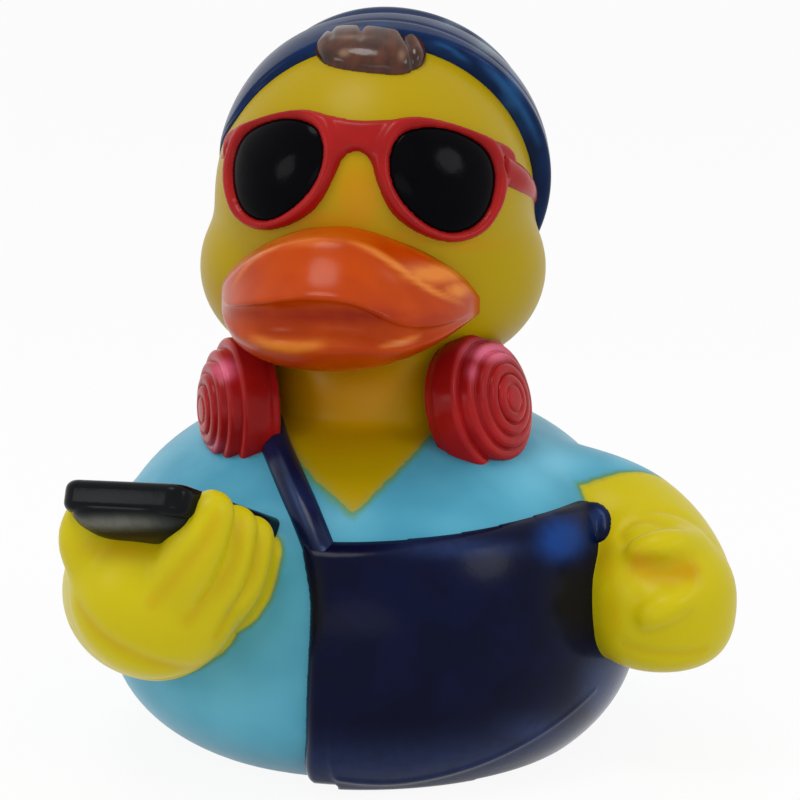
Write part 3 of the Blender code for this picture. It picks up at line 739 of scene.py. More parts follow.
# %% Cap
CAP_MIDDLE = SKULL + (1.0, 1.5, 2.6)
CAP_RADII = np.array((20.2, 21.6, 20.2))
CUFF_WIDTH = 9.0
CUFF_PROUD = 0.5
CUFF_ROLL = 1.0
CUFF_THICK = 1.5
CROWN_SWELL = 0.8
LEFT_RECEDE = 5.0
BRIM = SKULL + (0, -9.2, 19.7)
BRIM_TURNED = Euler((math.radians(24), 0, math.radians(9))).to_matrix()
CAP_SIDES = 320

brim_across, brim_away, brim_up = [np.array(BRIM_TURNED.col[k]) for k in range(3)]


def egg_reach(centre, radii, starts, directions):
    """How far an egg's surface lies from points inside it, along directions. 0 where there is none."""
    a = (starts - centre) / radii
    b = directions / radii
    ab = (a * b).sum(axis=1)
    bb = (b * b).sum(axis=1)
    left = ab**2 - bb * ((a * a).sum(axis=1) - 1)
    return np.where(left > 0, (np.sqrt(np.maximum(left, 0)) - ab) / bb, 0)


def cuff_profile(behind, turns):
    """How far the cap stands off its egg at a distance behind the brim, at each turn round it."""
    roll = CUFF_THICK * (shoulder(np.array(behind), CUFF_ROLL) - 1)
    edge = CUFF_WIDTH - 1.5 * ease(np.sin(turns + 0.3), 0.2, 1.0)
    past = ease(behind - edge, -0.4, 0.5)
    swell = CROWN_SWELL * ease(behind - edge, 0.2, 3.0) * ease(np.sin(turns + 0.5), 0.2, 0.9)
    swell *= 1 - ease(np.array(behind), 16, 26)
    folds = np.zeros_like(turns)
    for middle, drift, depth in ((3.4, 1.0, 0.12), (7.6, 0.4, 0.16)):
        line = middle + drift * np.sin(turns * 2 + middle)
        folds += depth * np.exp(-(((behind - line) / 0.3) ** 2)) * ease(np.cos(turns - 0.8), 0.35, 0.85)
    groove = 0.25 * np.exp(-(((behind - edge) / 0.35) ** 2))
    return roll + CUFF_PROUD * (1 - past) + swell - folds - groove


turns = np.linspace(0, 2 * math.pi, CAP_SIDES, endpoint=False)
spokes = np.outer(np.cos(turns), brim_across) + np.outer(np.sin(turns), brim_up)
recede = LEFT_RECEDE * ease(-np.cos(turns), 0.35, 0.9) * ease(-np.sin(turns), -0.5, 0.0)
depth_of_middle = (CAP_MIDDLE - BRIM) @ brim_away
cap_reach = np.linalg.norm(CAP_RADII * brim_away)
cuff_rows = np.concatenate([np.linspace(0, 1.2, 14), np.arange(1.4, CUFF_WIDTH + 1.4, 0.2)])
swing = np.linspace(math.asin((cuff_rows[-1] + 0.4 - depth_of_middle) / cap_reach), math.pi / 2 - 0.01, 70)
rows = np.concatenate([cuff_rows, depth_of_middle + cap_reach * np.sin(swing)])
rings = []
for behind in rows:
    shifted = behind + recede * (1 - ease(np.array(behind), 4, 30))
    starts = CAP_MIDDLE + np.outer(shifted - depth_of_middle, brim_away)
    reach = egg_reach(CAP_MIDDLE, CAP_RADII, starts, spokes)
    skull_reach = egg_reach(SKULL, np.array(SKULL_RADII), starts, spokes)
    if not rings:
        rings.append(starts + spokes * (skull_reach - 0.6)[:, None])
    cap_off = np.where(reach > 0, reach + cuff_profile(behind, turns), 0)
    least = np.where(reach > 0, skull_reach + 0.3 * shoulder(np.array(behind), CUFF_ROLL), 0)
    rings.append(starts + spokes * np.maximum(cap_off, least)[:, None])
tip = rings[-1].mean(axis=0)
rings.append(tip + (rings[-1] - tip) * 0.01)
cap = skinned(rings, closed=True)
cap = facing_out((softened(cap[0], edges_of(cap[1]), 2), cap[1]), SKULL)
print("cap:", len(cap[1]), "faces")

# %% [markdown]
# ## Lock of hair
# A thick lock shows under the cuff. Its lobes are parted by short grooves.

# %% Hair
HAIR_OUTLINE = (
    (-6.0, 18.6), (-5.0, 17.2), (-3.2, 16.5), (-0.6, 16.1), (2.4, 15.8), (4.6, 15.7), (6.2, 16.1), (7.4, 17.3),
    (6.6, 19.6), (5.5, 21), (-3.5, 21),
)
HAIR_PROUD = 1.8
HAIR_GROOVES = (((4.0, 19.5), (5.2, 17.9), (6.0, 16.3)), ((-0.6, 20.4), (-0.2, 18.6)), ((-4.2, 20.2), (-3.6, 18.8)))
hair_line = smooth_outline(HAIR_OUTLINE, 0.25)
hair_net, hair_faces = net(hair_line, (), 0.22)
heights = -0.4 + (HAIR_PROUD + 0.4) * shoulder(line_distance(hair_net, hair_line, closed=True)[0], 2.2)
for groove, depth in zip(HAIR_GROOVES, (0.5, 0.25, 0.25)):
    heights -= depth * np.exp(-((line_distance(hair_net, groove)[0] / 0.35) ** 2))
hair = facing_out((lifted(ground, hair_net + SKULL[[0, 2]], heights), hair_faces), SKULL)

# %% [markdown]
# ## Headphones
# Each cup is turned like a pot from one profile: a button in the middle and rings that step down from it.
# The band runs round the back of the neck.

# %% Headphone cups and band
CUP_RADIUS = 8.6
CUP_DOME = 5.6
CUP_BUTTON_RADIUS = 1.6
CUP_RINGS = 5
CUP_STEP = 0.55
CUP_PLACES = {-1: (-14.6, -10.6, BODY_TOP - 0.6), 1: (13.7, -10.0, BODY_TOP + 0.2)}
CUP_TURN = math.radians(65)
CUP_TIPS = {-1: 0.0, 1: math.radians(14)}
CUP_SIDES = 120


def cup_profile():
    """Half of a cup's section, from the middle of its face to its back, as (radius, height)."""
    points = [(0, CUP_DOME), (CUP_BUTTON_RADIUS * 0.8, CUP_DOME - 0.05), (CUP_BUTTON_RADIUS, CUP_DOME - 0.2)]
    width = (CUP_RADIUS - CUP_BUTTON_RADIUS) / CUP_RINGS
    for ring in range(CUP_RINGS):
        inner = CUP_BUTTON_RADIUS + ring * width
        middle = CUP_DOME * math.sqrt(1 - ((inner + width / 2) / CUP_RADIUS) ** 2)
        points += [(inner + 0.12, middle - 0.1), (inner + 0.35, middle + 0.08), (inner + width * 0.75, middle)]
        points += [(inner + width * 0.95, middle - 0.25), (inner + width, middle - CUP_STEP)]
    return points + [(CUP_RADIUS, -0.3), (CUP_RADIUS * 0.95, -1.4), (7.0, -2.6), (0.1, -2.6)]


def cup(side):
    profile = smooth_outline(cup_profile(), 0.16, closed=False)
    turns = np.linspace(0, 2 * math.pi, CUP_SIDES, endpoint=False)
    rings = [np.column_stack([r * np.cos(turns), r * np.sin(turns), np.full(CUP_SIDES, h)]) for r, h in profile]
    points, faces = skinned(rings, closed=True)
    turn = np.array(Euler((math.radians(90) - CUP_TIPS[side], 0, side * CUP_TURN)).to_matrix())
    return facing_out((points @ turn.T + CUP_PLACES[side], faces), CUP_PLACES[side])


cups = {side: cup(side) for side in (-1, 1)}
BAND_RADIUS = 2.0
band_height = CUP_PLACES[1][2]
band_path = [
    CUP_PLACES[-1], (-16.0, 0, band_height), (-10.5, 14.0, band_height), (0, 16.0, band_height),
    (10.5, 14.0, band_height), (16.0, 0, band_height), CUP_PLACES[1],
]
band = limb(band_path, [BAND_RADIUS] * len(band_path), sides=10, steps=16)
print("cup:", len(cups[1][1]), "faces")

# %% [markdown]
# ## Bag and strap
# The bag is a low relief on the body's egg. Its net is made in turn and height round the body's axis, so that it can
# run round the side, where a net made in the front view would be stretched.

# %% Bag
BAG_PROUD_FRONT = 1.8
BAG_PROUD_SIDE = 0.5
BAG_PROUD_BELOW = 1.8
BAG_SUNK = 0.8
BAG_OUTLINE = (
    (-4.6, 29.8), (-3.4, 24.0), (-3.6, 16.0), (-4.1, 8.0), (-4.7, 3.0), (-4.2, 1.0), (-2.4, 0.1), (20.0, 0.1),
)
BAG_BACK = (
    (50.0, 0.1), (62.0, 0.1), (62.0, 10.0), (60.0, 13.0), (52.0, 14.0), (47.0, 17.0), (43.0, 22.0), (41.0, 27.0),
)
BAG_TOP = ((29.0, 30.4), (27.0, 31.8), (22.0, 31.7), (14.0, 31.1), (6.0, 30.7), (0.0, 30.5), (-3.6, 30.6))


def body_level(height, grow=0.0):
    """How wide the body is at a height, as a share of its widest ring, and how much its skin leans there."""
    below = height < BODY[2]
    power = np.where(below, BODY_UNDER[1], BODY_SQUARENESS)
    tall = np.where(below, BODY_UNDER[0] + grow, BODY_RADII[2])
    share = np.clip(np.abs(height - BODY[2]) / tall, 0, 0.999)
    return (1 - share**power) ** (1 / power), np.sign(height - BODY[2]) * share ** (power - 1)


def body_place(turn, height, share):
    """A place at a turn from the front, in millimetres along the widest ring, and a share of the bag's height."""
    level, lean = body_level(height, BAG_PROUD_BELOW * np.maximum(share, 0))
    angle = turn / BODY_RADII[0]
    x = BODY[0] + (BODY_RADII[0] + BAG_PROUD_SIDE * share) * level * np.sin(angle)
    y = BODY[1] - (BODY_RADII[1] + BAG_PROUD_FRONT * share) * level * np.cos(angle)
    return np.column_stack([x, y, height + 0.6 * share * lean * np.abs(np.cos(angle))])


def to_turn(x, z):
    """The turn round the body at which a place of the front view lies."""
    level = float(body_level(np.array(z))[0])
    return BODY_RADII[0] * math.asin(min((x - BODY[0]) / (BODY_RADII[0] * level), 0.985))


bag_points = [(to_turn(x, max(z, 0.5)), z) for x, z in BAG_OUTLINE]
bag_points += list(BAG_BACK) + [(to_turn(x, z), z) for x, z in BAG_TOP]
bag_line = smooth_outline(bag_points, 0.35)
bag_net, bag_faces = net(bag_line, (), 0.34)
bag_edge = line_distance(bag_net, bag_line, closed=True)[0]
bag_edge = np.where((bag_net[:, 1] < 1.5) & (bag_net[:, 0] > 0), np.maximum(bag_edge, 2.0), bag_edge)
HEM = ((1.6, 17.0), (0.4, 10.0), (0.0, 3.4), (1.6, 2.2), (9.0, 1.8), (18.0, 3.2), (27.0, 6.0), (36.0, 9.6))
hem_gap, hem_along = line_distance(bag_net, smooth_outline(HEM, 0.5, closed=False))
hem = np.exp(-((hem_gap / 0.35) ** 2)) * ease(hem_along, 0.0, 0.2)
bag_share = shoulder(bag_edge, 1.8) * (1 + BAG_SUNK / BAG_PROUD_FRONT) - BAG_SUNK / BAG_PROUD_FRONT + 0.1 * hem
bag_places = body_place(bag_net[:, 0], bag_net[:, 1], bag_share)
bag_places[:, 2] = np.maximum(bag_places[:, 2], 0)
bag = facing_out((bag_places, bag_faces), BODY)

TAB_PIXELS = (
    (548, 512), (562, 506), (575, 502), (590, 500), (602, 503), (611, 513), (612, 526), (609, 537), (599, 544),
    (580, 548), (560, 548), (545, 540), (542, 524),
)
tab_line = smooth_outline([seen(ground, *pixel)[[0, 2]] for pixel in TAB_PIXELS], 0.25)
tab_net, tab_faces = net(tab_line, (), 0.25)
tab_heights = -0.4 + 1.0 * shoulder(line_distance(tab_net, tab_line, closed=True)[0], 1.1)
tab = facing_out((lifted(ground, tab_net, tab_heights), tab_faces), BODY)
print("bag:", len(bag_faces), "faces")

# %% Strap
STRAP_RADIUS = 1.9
STRAP_SUNK = 0.5
STRAP_FRONT = ((-1.8, 28.0), (-3.6, 31.5), (-7.0, 36.0), (-11.0, 39.8), (-13.0, 41.5))
STRAP_BACK = ((-11.0, 41.5), (-4.0, 38.5), (8.0, 32.0), (20.0, 25.0), (30.0, 19.0), (34.0, 15.0))


def strap_point(x, z, side):
    """A point of the strap's middle line, a little inside the body, in front (-1) or behind (1)."""
    share = abs(z - BODY[2]) / BODY_RADII[2]
    level = (1 - share**BODY_SQUARENESS) ** (1 / BODY_SQUARENESS)
    across = min(abs(x - BODY[0]) / BODY_RADII[0] / level, 1)
    return (x, BODY[1] + side * (BODY_RADII[1] * level * math.sqrt(1 - across**2) - STRAP_SUNK), z)


strap_path = [strap_point(x, z, -1) for x, z in STRAP_FRONT] + [strap_point(x, z, 1) for x, z in STRAP_BACK]
strap = limb(strap_path, [STRAP_RADIUS] * len(strap_path), sides=10, steps=16)

# %% [markdown]
# ## Phone
# A slab with round corners, first rounded in outline and then along its faces.

# %% Phone
PHONE_SIZE = (15.8, 26.0, 3.6)
PHONE_PLACE = (-18.0, -34.0, 34.0)
PHONE_TURN = Euler((math.radians(-21), math.radians(-3), math.radians(-18)))


def phone_form():
    bm = bmesh.new()
    bmesh.ops.create_cube(bm, size=1)
    bmesh.ops.scale(bm, vec=PHONE_SIZE, verts=bm.verts)
    upright = [edge for edge in bm.edges if abs(edge.verts[0].co.z - edge.verts[1].co.z) > 1]
    bmesh.ops.bevel(bm, geom=upright, offset=2.2, segments=8, profile=0.5, affect="EDGES")
    level = [edge for edge in bm.edges if len(edge.link_faces) == 2 and edge.calc_face_angle() > math.radians(60)]
    bmesh.ops.bevel(bm, geom=level, offset=1.1, segments=6, profile=0.5, affect="EDGES")
    bmesh.ops.rotate(bm, matrix=PHONE_TURN.to_matrix(), verts=bm.verts)
    bmesh.ops.translate(bm, vec=PHONE_PLACE, verts=bm.verts)
    found = np.array([vert.co for vert in bm.verts]), [[vert.index for vert in face.verts] for face in bm.faces]
    bm.free()
    return found


def in_hand(form):
    """A form made round the phone's own middle, turned and moved to the hand."""
    turn = np.array(PHONE_TURN.to_matrix())
    return form[0] @ turn.T + PHONE_PLACE, form[1]


def under_phone():
    """The phone's rounded back, which swells from the edge of its front down into the hand."""
    points, faces = egg((0, 0, 0), (1, 1, BACK_TOP), 2.6, (BACK_DEPTH, 2.2))
    level = np.hypot(points[:, 0], points[:, 1])
    squared = (np.abs(points[:, 0]) ** BACK_SQUARENESS + np.abs(points[:, 1]) ** BACK_SQUARENESS) ** (1 / BACK_SQUARENESS)
    widen = level / np.maximum(squared, 1e-6)
    across, along = points[:, 0] * widen * BACK_HALF[0], points[:, 1] * widen * BACK_HALF[1]
    return in_hand((np.column_stack([across, along, points[:, 2] - BACK_DROP]), faces))


BACK_HALF = (7.9, 13.0)
BACK_DEPTH = 3.7
BACK_DROP = 1.2
BACK_TOP = 0.5
BACK_SQUARENESS = 5.0
phone = phone_form()
phone_back = under_phone()
print("phone:", len(phone[1]), "faces")

# %% [markdown]
# ## Painted zones
# The paint doesn't follow edges of the mesh, so its borders are kept as distances.
# Each point of the skin stores how far inside the blue shirt it lies, and the material turns that into a crisp or
# sprayed edge. The same way, each point stores how much painted shade, a deeper amber, it gets in creases, hollows and
# on the neck.


# %% Distances for the paint
def gap_to(form, points):
    """How far each point lies from a form, found from outside it."""
    tree = BVHTree.FromPolygons([tuple(point) for point in form[0]], form[1])
    return np.array([tree.find_nearest(Vector(point))[3] for point in points])


LEFT_CUFF_PIXEL = (640, 472)
LEFT_CUFF_FACING = np.array((0.5, -0.8, -0.33))
left_cuff = seen(ground, *LEFT_CUFF_PIXEL)
RIGHT_CUFF_Y = -16.0
HAND_LEAD = 0.3
V_POINT = (1.1, 33.2)
V_SLOPES = (0.63, 0.93)
COLLAR_HEIGHT = 42.0


def hand_depth(points):
    """How far inside each painted hand, right and left, each point lies. It is negative outside."""
    to_trunk = gap_to(trunk, points)
    right = np.minimum(to_trunk - gap_to(right_hand, points) + HAND_LEAD, RIGHT_CUFF_Y - points[:, 1])
    left = np.minimum(to_trunk - gap_to(left_hand, points) + HAND_LEAD, (points - left_cuff) @ LEFT_CUFF_FACING)
    return right, left


def shirt_depth(points, hands):
    """How far inside the shirt each point lies. It is negative on the neck, the head and the hands."""
    x, y, z = points.T
    slope = np.where(x < V_POINT[0], V_SLOPES[0], V_SLOPES[1])
    collar = np.where(y < 0, np.minimum(V_POINT[1] + slope * np.abs(x - V_POINT[0]), COLLAR_HEIGHT), COLLAR_HEIGHT)
    return np.minimum((collar - z) * 0.8, -np.maximum(*hands))


def seen_at(points):
    """Where the photo shows each point, in pixels across and down."""
    away = points - np.array(EYE)
    depth = away @ np.array(FORWARD)
    across = PICTURE / 2 + away @ np.array(RIGHT) / depth * FOCAL_PIXELS
    down = PICTURE / 2 - away @ np.array(UP) / depth * FOCAL_PIXELS
    return across, down


def marks(form, spots):
    """From 0 to 1, how much of a soft mark each point carries. A spot is (across, down, wide, tall, strength)."""
    points, faces = form
    across, down = seen_at(points)
    facing = ease(-(normals_of(points, faces) @ np.array(FORWARD)), -0.05, 0.25)
    found = np.zeros(len(points))
    for x, y, wide, tall, strength in spots:
        found = np.maximum(found, strength * np.exp(-(((across - x) / wide) ** 2) - ((down - y) / tall) ** 2))
    return np.clip(found * facing, 0, 1)


def strokes(form, lines):
    """From 0 to 1, how much of some long soft marks each point carries. A line is (pixels, width, strength)."""
    points, faces = form
    places = np.column_stack(seen_at(points))
    facing = ease(-(normals_of(points, faces) @ np.array(FORWARD)), -0.05, 0.25)
    found = np.zeros(len(points))
    for pixels, width, strength in lines:
        gap, along = line_distance(places, smooth_outline(pixels, 3, closed=False))
        fade = np.sin(np.pi * along.clip(0, 1)) ** 0.5
        found = np.maximum(found, strength * fade * np.exp(-((gap / width) ** 2)))
    return np.clip(found * facing, 0, 1)


# Painted shade: amber spots where shade falls, round the nose, under the glasses, beside the bill, on the neck and in
# the hollows of the hands.
AMBER_SPOTS = (
    (358, 195, 26, 40, 1.0), (330, 222, 60, 14, 0.8), (420, 236, 60, 14, 0.6), (215, 300, 12, 40, 0.4),
    (345, 385, 90, 60, 1.0), (120, 550, 55, 16, 0.5), (670, 568, 34, 10, 0.45),
    (606, 560, 14, 34, 0.4), (612, 612, 14, 34, 0.35), (640, 600, 8, 30, 0.25), (470, 245, 40, 10, 0.6),
    (355, 470, 50, 60, 0.15),
)


def hollow_depth(form):
    """From 0 to 1, how much painted shade each point gets, as a deeper amber: in creases, hollows, on the neck and
    where the head is shaded.
    """
    points, faces = form
    found = marks(form, AMBER_SPOTS)
    for line, (_, depth, width) in zip(crease_lines, CREASES):
        gap = line_distance(points, line)[0]
        found = np.maximum(found, 0.8 * depth * np.exp(-((gap / width) ** 2)))
    neck = np.exp(-(((points[:, 2] - 45.0) / 5.0) ** 2)) * ease(-points[:, 1], 4, 10)
    return np.clip(np.maximum(found, 0.35 * neck), 0, 1)


skin_hands = hand_depth(skin[0])
print("vinyl on the hands:", round(float((np.maximum(*skin_hands) > 0).mean()), 3), "of the skin's points")


# %% [markdown]
# ## Paint as expressions
# A shader is a small sum, so it is written as one. This class wraps a socket, and + - * / on it add Math nodes.
# Every other node comes from one method of the finish, which sets its settings first and then its sockets.


# %% Sockets and finishes
class Flow:
    """What comes out of a socket, for sums."""

    def __init__(self, nodes, socket):
        self.nodes = nodes
        self.socket = socket

    def _sum(self, operation, one, other):
        return self.nodes.add("ShaderNodeMath", {"operation": operation}, {0: one, 1: other})

    def __add__(self, other):
        return self._sum("ADD", self, other)

    def __radd__(self, other):
        return self._sum("ADD", other, self)

    def __sub__(self, other):
        return self._sum("SUBTRACT", self, other)

    def __rsub__(self, other):
        return self._sum("SUBTRACT", other, self)

    def __mul__(self, other):
        return self._sum("MULTIPLY", self, other)

    def __rmul__(self, other):
        return self._sum("MULTIPLY", other, self)

    def __truediv__(self, other):
        return self._sum("DIVIDE", self, other)


class Nodes:
    """The nodes of a material or a world."""

    def __init__(self, tree):
        self.tree = tree

    def add(self, kind, settings, values, out=0):
        """A node of a kind, with its settings and the values or flows of its sockets."""
        node = self.tree.nodes.new(kind)
        for name, value in settings.items():
            setattr(node, name, value)
        for name, value in values.items():
            self.feed(node.inputs[name], value)
        return Flow(self, node.outputs[out])

    def feed(self, socket, value):
        """A value or a flow for a socket."""
        if isinstance(value, Flow):
            self.tree.links.new(value.socket, socket)
        else:
            socket.default_value = value


class Finish(Nodes):
    """A painted vinyl surface."""

    def __init__(self, name, roughness, soft=0.0, specular=0.12):
        self.material = bpy.data.materials.new(name)
        self.material.use_nodes = True
        super().__init__(self.material.node_tree)
        self.shader = self.tree.nodes["Principled BSDF"]
        self.set("Roughness", roughness)
        self.set("Specular IOR Level", specular)
        self.set("Subsurface Weight", soft)
        self.set("Subsurface Radius", (1.0, 0.6, 0.2))
        self.set("Subsurface Scale", 0.0012)
        self.place = self.add("ShaderNodeTexCoord", {}, {}, "Object")

    def set(self, name, value):
        """A value or a flow for one of the shader's own sockets."""
        self.feed(self.shader.inputs[name], value)

    def noise(self, size_mm, detail=2.0, stretch=(1, 1, 1), roughness=0.5):
        """Cloudy values round 0.5, with spots of about this size."""
        place = self.add("ShaderNodeMapping", {}, {"Vector": self.place, "Scale": stretch})
        values = {"Vector": place, "Scale": 1 / (size_mm * MM), "Detail": detail, "Roughness": roughness}
        return self.add("ShaderNodeTexNoise", {}, values)

    def stored(self, name):
        """A value that the mesh's points carry."""
        return self.add("ShaderNodeAttribute", {"attribute_name": name}, {}, "Fac")

    def rise(self, value, start, end):
        """0 below start, 1 above end, smooth between."""
        settings = {"interpolation_type": "SMOOTHSTEP"}
        return self.add("ShaderNodeMapRange", settings, {"Value": value, "From Min": start, "From Max": end})

    def mix(self, share, one, other):
        """One colour turning into another."""
        return self.add("ShaderNodeMix", {"data_type": "RGBA"}, {0: share, 6: one, 7: other}, 2)

    def bump(self, height, strength, distance_mm):
        """Fine relief for the Normal socket."""
        values = {"Height": height, "Strength": strength, "Distance": distance_mm * MM}
        self.set("Normal", self.add("ShaderNodeBump", {}, values))


def srgb(red, green, blue):
    """A colour as a screen shows it, from 0 to 255, in the linear values that a shader takes."""
    shares = np.array((red, green, blue)) / 255
    linear = np.where(shares <= 0.04045, shares / 12.92, ((shares + 0.055) / 1.055) ** 2.4)
    return (*linear.tolist(), 1.0)


# %% [markdown]
# ## The finishes
# Bare vinyl is a satin yellow that glows a little where light gets into it. The shirt is sprayed blue over it.
# Where the spray is thin, yellow shows through and the paint looks green.

# %% Yellow vinyl with the sprayed shirt
# Painted light: the head's deeper gold and the hands' lighter lemon are shaded and lit copies of the one yellow vinyl.
GOLD = srgb(172, 146, 2)
LEMON = srgb(198, 182, 14)
# Painted shade: a deeper amber for creases, hollows and the neck.
AMBER = srgb(188, 134, 0)
SHIRT = srgb(84, 164, 190)
SHIRT_DEEP = srgb(70, 150, 178)
SHIRT_GREEN = srgb(88, 140, 96)
# Painted highlight: a paler shirt blue for the lit shoulders and the lighter low body.
SHIRT_PALE = srgb(112, 192, 218)
SPECK = srgb(30, 62, 60)

vinyl = Finish("yellow_vinyl", 0.36, soft=0.1)
clouds = vinyl.noise(9)
grain = vinyl.noise(0.5, 3)
wander = (vinyl.noise(1.2, 3) - 0.5) * 0.6
# The hands get the lit lemon and the rest of the skin the shaded gold: painted light and shade.
bare = vinyl.mix(vinyl.stored("hand"), GOLD, LEMON)
# The amber laid over the yellow is painted shade.
yellow = vinyl.mix(vinyl.rise(vinyl.stored("hollow") + (clouds - 0.5) * 0.2, 0.05, 1.0), bare, AMBER)
shirt_in = vinyl.stored("shirt") + wander
blue = vinyl.mix(vinyl.rise(clouds, 0.3, 0.7), SHIRT, SHIRT_DEEP)
# Painted highlight on the shirt's shoulders and painted light low on the body.
blue = vinyl.mix(vinyl.stored("pale"), blue, SHIRT_PALE)
blue = vinyl.mix(vinyl.rise(shirt_in, 0.0, 1.0), SHIRT_GREEN, blue)
haze = vinyl.rise(shirt_in, -0.9, 0.0) * 0.25
painted = vinyl.mix(haze, yellow, SHIRT_GREEN)
painted = vinyl.mix(vinyl.rise(shirt_in, -0.12, 0.12), painted, blue)
spots = vinyl.add("ShaderNodeTexVoronoi", {}, {"Vector": vinyl.place, "Scale": 150.0}, "Distance")
specks = (1 - vinyl.rise(spots, 0.02, 0.045)) * vinyl.rise(vinyl.noise(14), 0.56, 0.6)
vinyl.set("Base Color", vinyl.mix(specks * 0.8, painted, SPECK))
vinyl.set("Roughness", 0.3 + clouds * 0.1)
vinyl.bump(grain, 0.06, 0.2)


# %% [markdown]
# The raised pieces are brushed or dipped, and their paint is glossier. The tones laid over a paint are mostly painted
# light: lighter tones for highlights on edges and ridges, darker tones for shade in low places.


# %% Paints of the raised pieces
def brushed(name, colour, deep, roughness, specular=0.12, streak=(1, 1, 1), spot=6.0, tones=()):
    """A gloss paint that varies a little in depth. Each tone is (stored value's name, colour) and lies over the last."""
    finish = Finish(name, roughness, specular=specular)
    clouds = finish.noise(spot, 2, streak)
    shade = finish.mix(finish.rise(clouds, 0.3, 0.7), colour, deep)
    rough = (finish.noise(1.5, 3) - 0.5) * 0.5
    for stored, tone in tones:
        amount = finish.stored(stored)
        shade = finish.mix(finish.rise(amount + rough * amount, 0.05, 0.95), shade, tone)
    finish.set("Base Color", shade)
    finish.set("Roughness", roughness + (finish.noise(2.0, 3) - 0.5) * 0.1)
    finish.bump(finish.noise(0.8, 3), 0.1, 0.15)
    return finish


# The cap's lighter tones are painted highlights and sheen, and its darkest tone painted shade.
navy_cap = brushed(
    "navy_cap", srgb(12, 38, 80), srgb(8, 30, 66), 0.24, 0.08, streak=(1, 1, 2.5),
    tones=(("streak", srgb(34, 84, 138)), ("grey", srgb(84, 104, 124)), ("dark", srgb(10, 22, 44))),
)
# The bag's lightest tone is painted highlight and reflection, and its near-black tone painted shade.
navy_bag = brushed(
    "navy_bag", srgb(6, 12, 44), srgb(4, 8, 34), 0.2, 0.07,
    tones=(("pale", srgb(44, 62, 108)), ("patch", srgb(14, 58, 128)), ("soot", srgb(18, 19, 24))),
)
# The strap's pale tone is painted highlight.
navy_strap = brushed("navy_strap", srgb(20, 32, 70), srgb(12, 20, 50), 0.2, tones=(("pale", srgb(70, 92, 134)),))
red_frame = brushed("red_frame", srgb(162, 24, 22), srgb(146, 18, 18), 0.26)
red_cups = brushed(
    "red_cups", srgb(172, 26, 28), srgb(150, 20, 22), 0.24,
    tones=(("sheen", srgb(222, 104, 134)), ("dark", srgb(148, 20, 16))),
)
# The bill's light tone is painted highlight and its deep tone painted shade.
orange_bill = brushed(
    "orange_bill", srgb(184, 66, 0), srgb(172, 56, 0), 0.22, 0.12,
    tones=(("light", srgb(216, 124, 44)), ("deep", srgb(138, 24, 0))),
)
black_lens = brushed("black_lens", srgb(3, 3, 6), srgb(1, 1, 4), 0.14, 0.035)
black_phone = brushed(
    "black_phone", srgb(12, 16, 18), srgb(7, 10, 12), 0.2, 0.08,
    tones=(("grey", srgb(104, 106, 98)), ("brown", srgb(48, 42, 16))),
)
# The hair's lightest tone is painted highlight.
brown_hair = brushed(
    "brown_hair", srgb(82, 40, 20), srgb(50, 22, 10), 0.16, 0.3, streak=(1.6, 1, 0.8), spot=2.6,
    tones=(("thin", srgb(136, 104, 80)), ("stroke", srgb(44, 20, 8))),
)


# %% [markdown]
# ## Finished pieces
# Each form becomes an object in metres, gets its finish, hangs on the root body and hides the duck's solid in its
# place.


# %% Making the pieces
def piece(name, form, finish, slot, **stored):
    """A finished piece that stands for the duck's solid."""
    mesh = as_mesh(name, (form[0] * MM, form[1]))
    mesh.materials.append(finish.material)
    mesh.shade_smooth()
    for key, values in stored.items():
        mesh.attributes.new(key, "FLOAT", "POINT").data.foreach_set("value", values.astype(np.float32))
    made = bpy.data.objects.new(name, mesh)
    bpy.context.scene.collection.objects.link(made)
    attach(made, "root")
    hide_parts("duck")
    print(name, len(mesh.polygons), "faces")
    return made


# On the skin the amber is painted shade, and the pale marks are painted highlights on the shoulders and painted light
# low on the body.
skin_piece = piece(
    "skin", skin, vinyl, "yellow_vinyl", shirt=shirt_depth(skin[0], skin_hands), hollow=hollow_depth(skin),
    hand=ease(np.maximum(*skin_hands), -0.5, 0.5),
    pale=marks(skin, ((560, 462, 34, 16, 0.9), (530, 480, 26, 30, 0.5), (230, 710, 70, 60, 0.45), (620, 462, 30, 8, 0.4))),
)
skin_piece.data.set_sharp_from_angle(angle=math.radians(50))
# Painted light on the cap: the streaks and grey marks are painted highlights and sheen on the cuff and crown, and the
# dark marks painted shade on the cuff's front face and its left end.
piece(
    "cap", cap, navy_cap, "navy_paint",
    streak=np.maximum(
        marks(cap, ((512, 96, 12, 34, 0.6), (440, 45, 30, 7, 0.3))),
        strokes(cap, (
            (((476, 58), (505, 86), (526, 118), (541, 150)), 5.0, 0.8),
            (((430, 41), (452, 50), (474, 68)), 3.0, 0.7),
            (((300, 66), (330, 42), (372, 26), (410, 26)), 3.0, 0.4),
        )),
    ),
    grey=marks(cap, ((496, 44, 22, 12, 0.9), (460, 22, 22, 7, 0.7), (348, 30, 30, 5, 0.4))),
    dark=marks(cap, ((505, 118, 16, 12, 0.8), (530, 165, 10, 30, 0.8), (300, 62, 40, 10, 0.4))),
)
# The hair's pale spots are painted highlights.
piece(
    "hair", hair, brown_hair, "brown_paint",
    thin=marks(hair, ((344, 53, 7, 5, 0.8), (402, 55, 5, 8, 0.6), (352, 37, 24, 3, 0.5))),
    stroke=marks(hair, ((327, 58, 8, 10, 1.0), (412, 62, 5, 10, 0.8), (374, 66, 34, 3, 0.5))),
)
piece("glasses_frame", glasses_frame, red_frame, "red_paint")
for side, form in zip(("left", "right"), lens_forms):
    piece("lens_" + side, form, black_lens, "black_paint")
for side, form in zip(("right", "left"), arm_forms):
    piece("side_arm_" + side, form, red_frame, "red_paint")
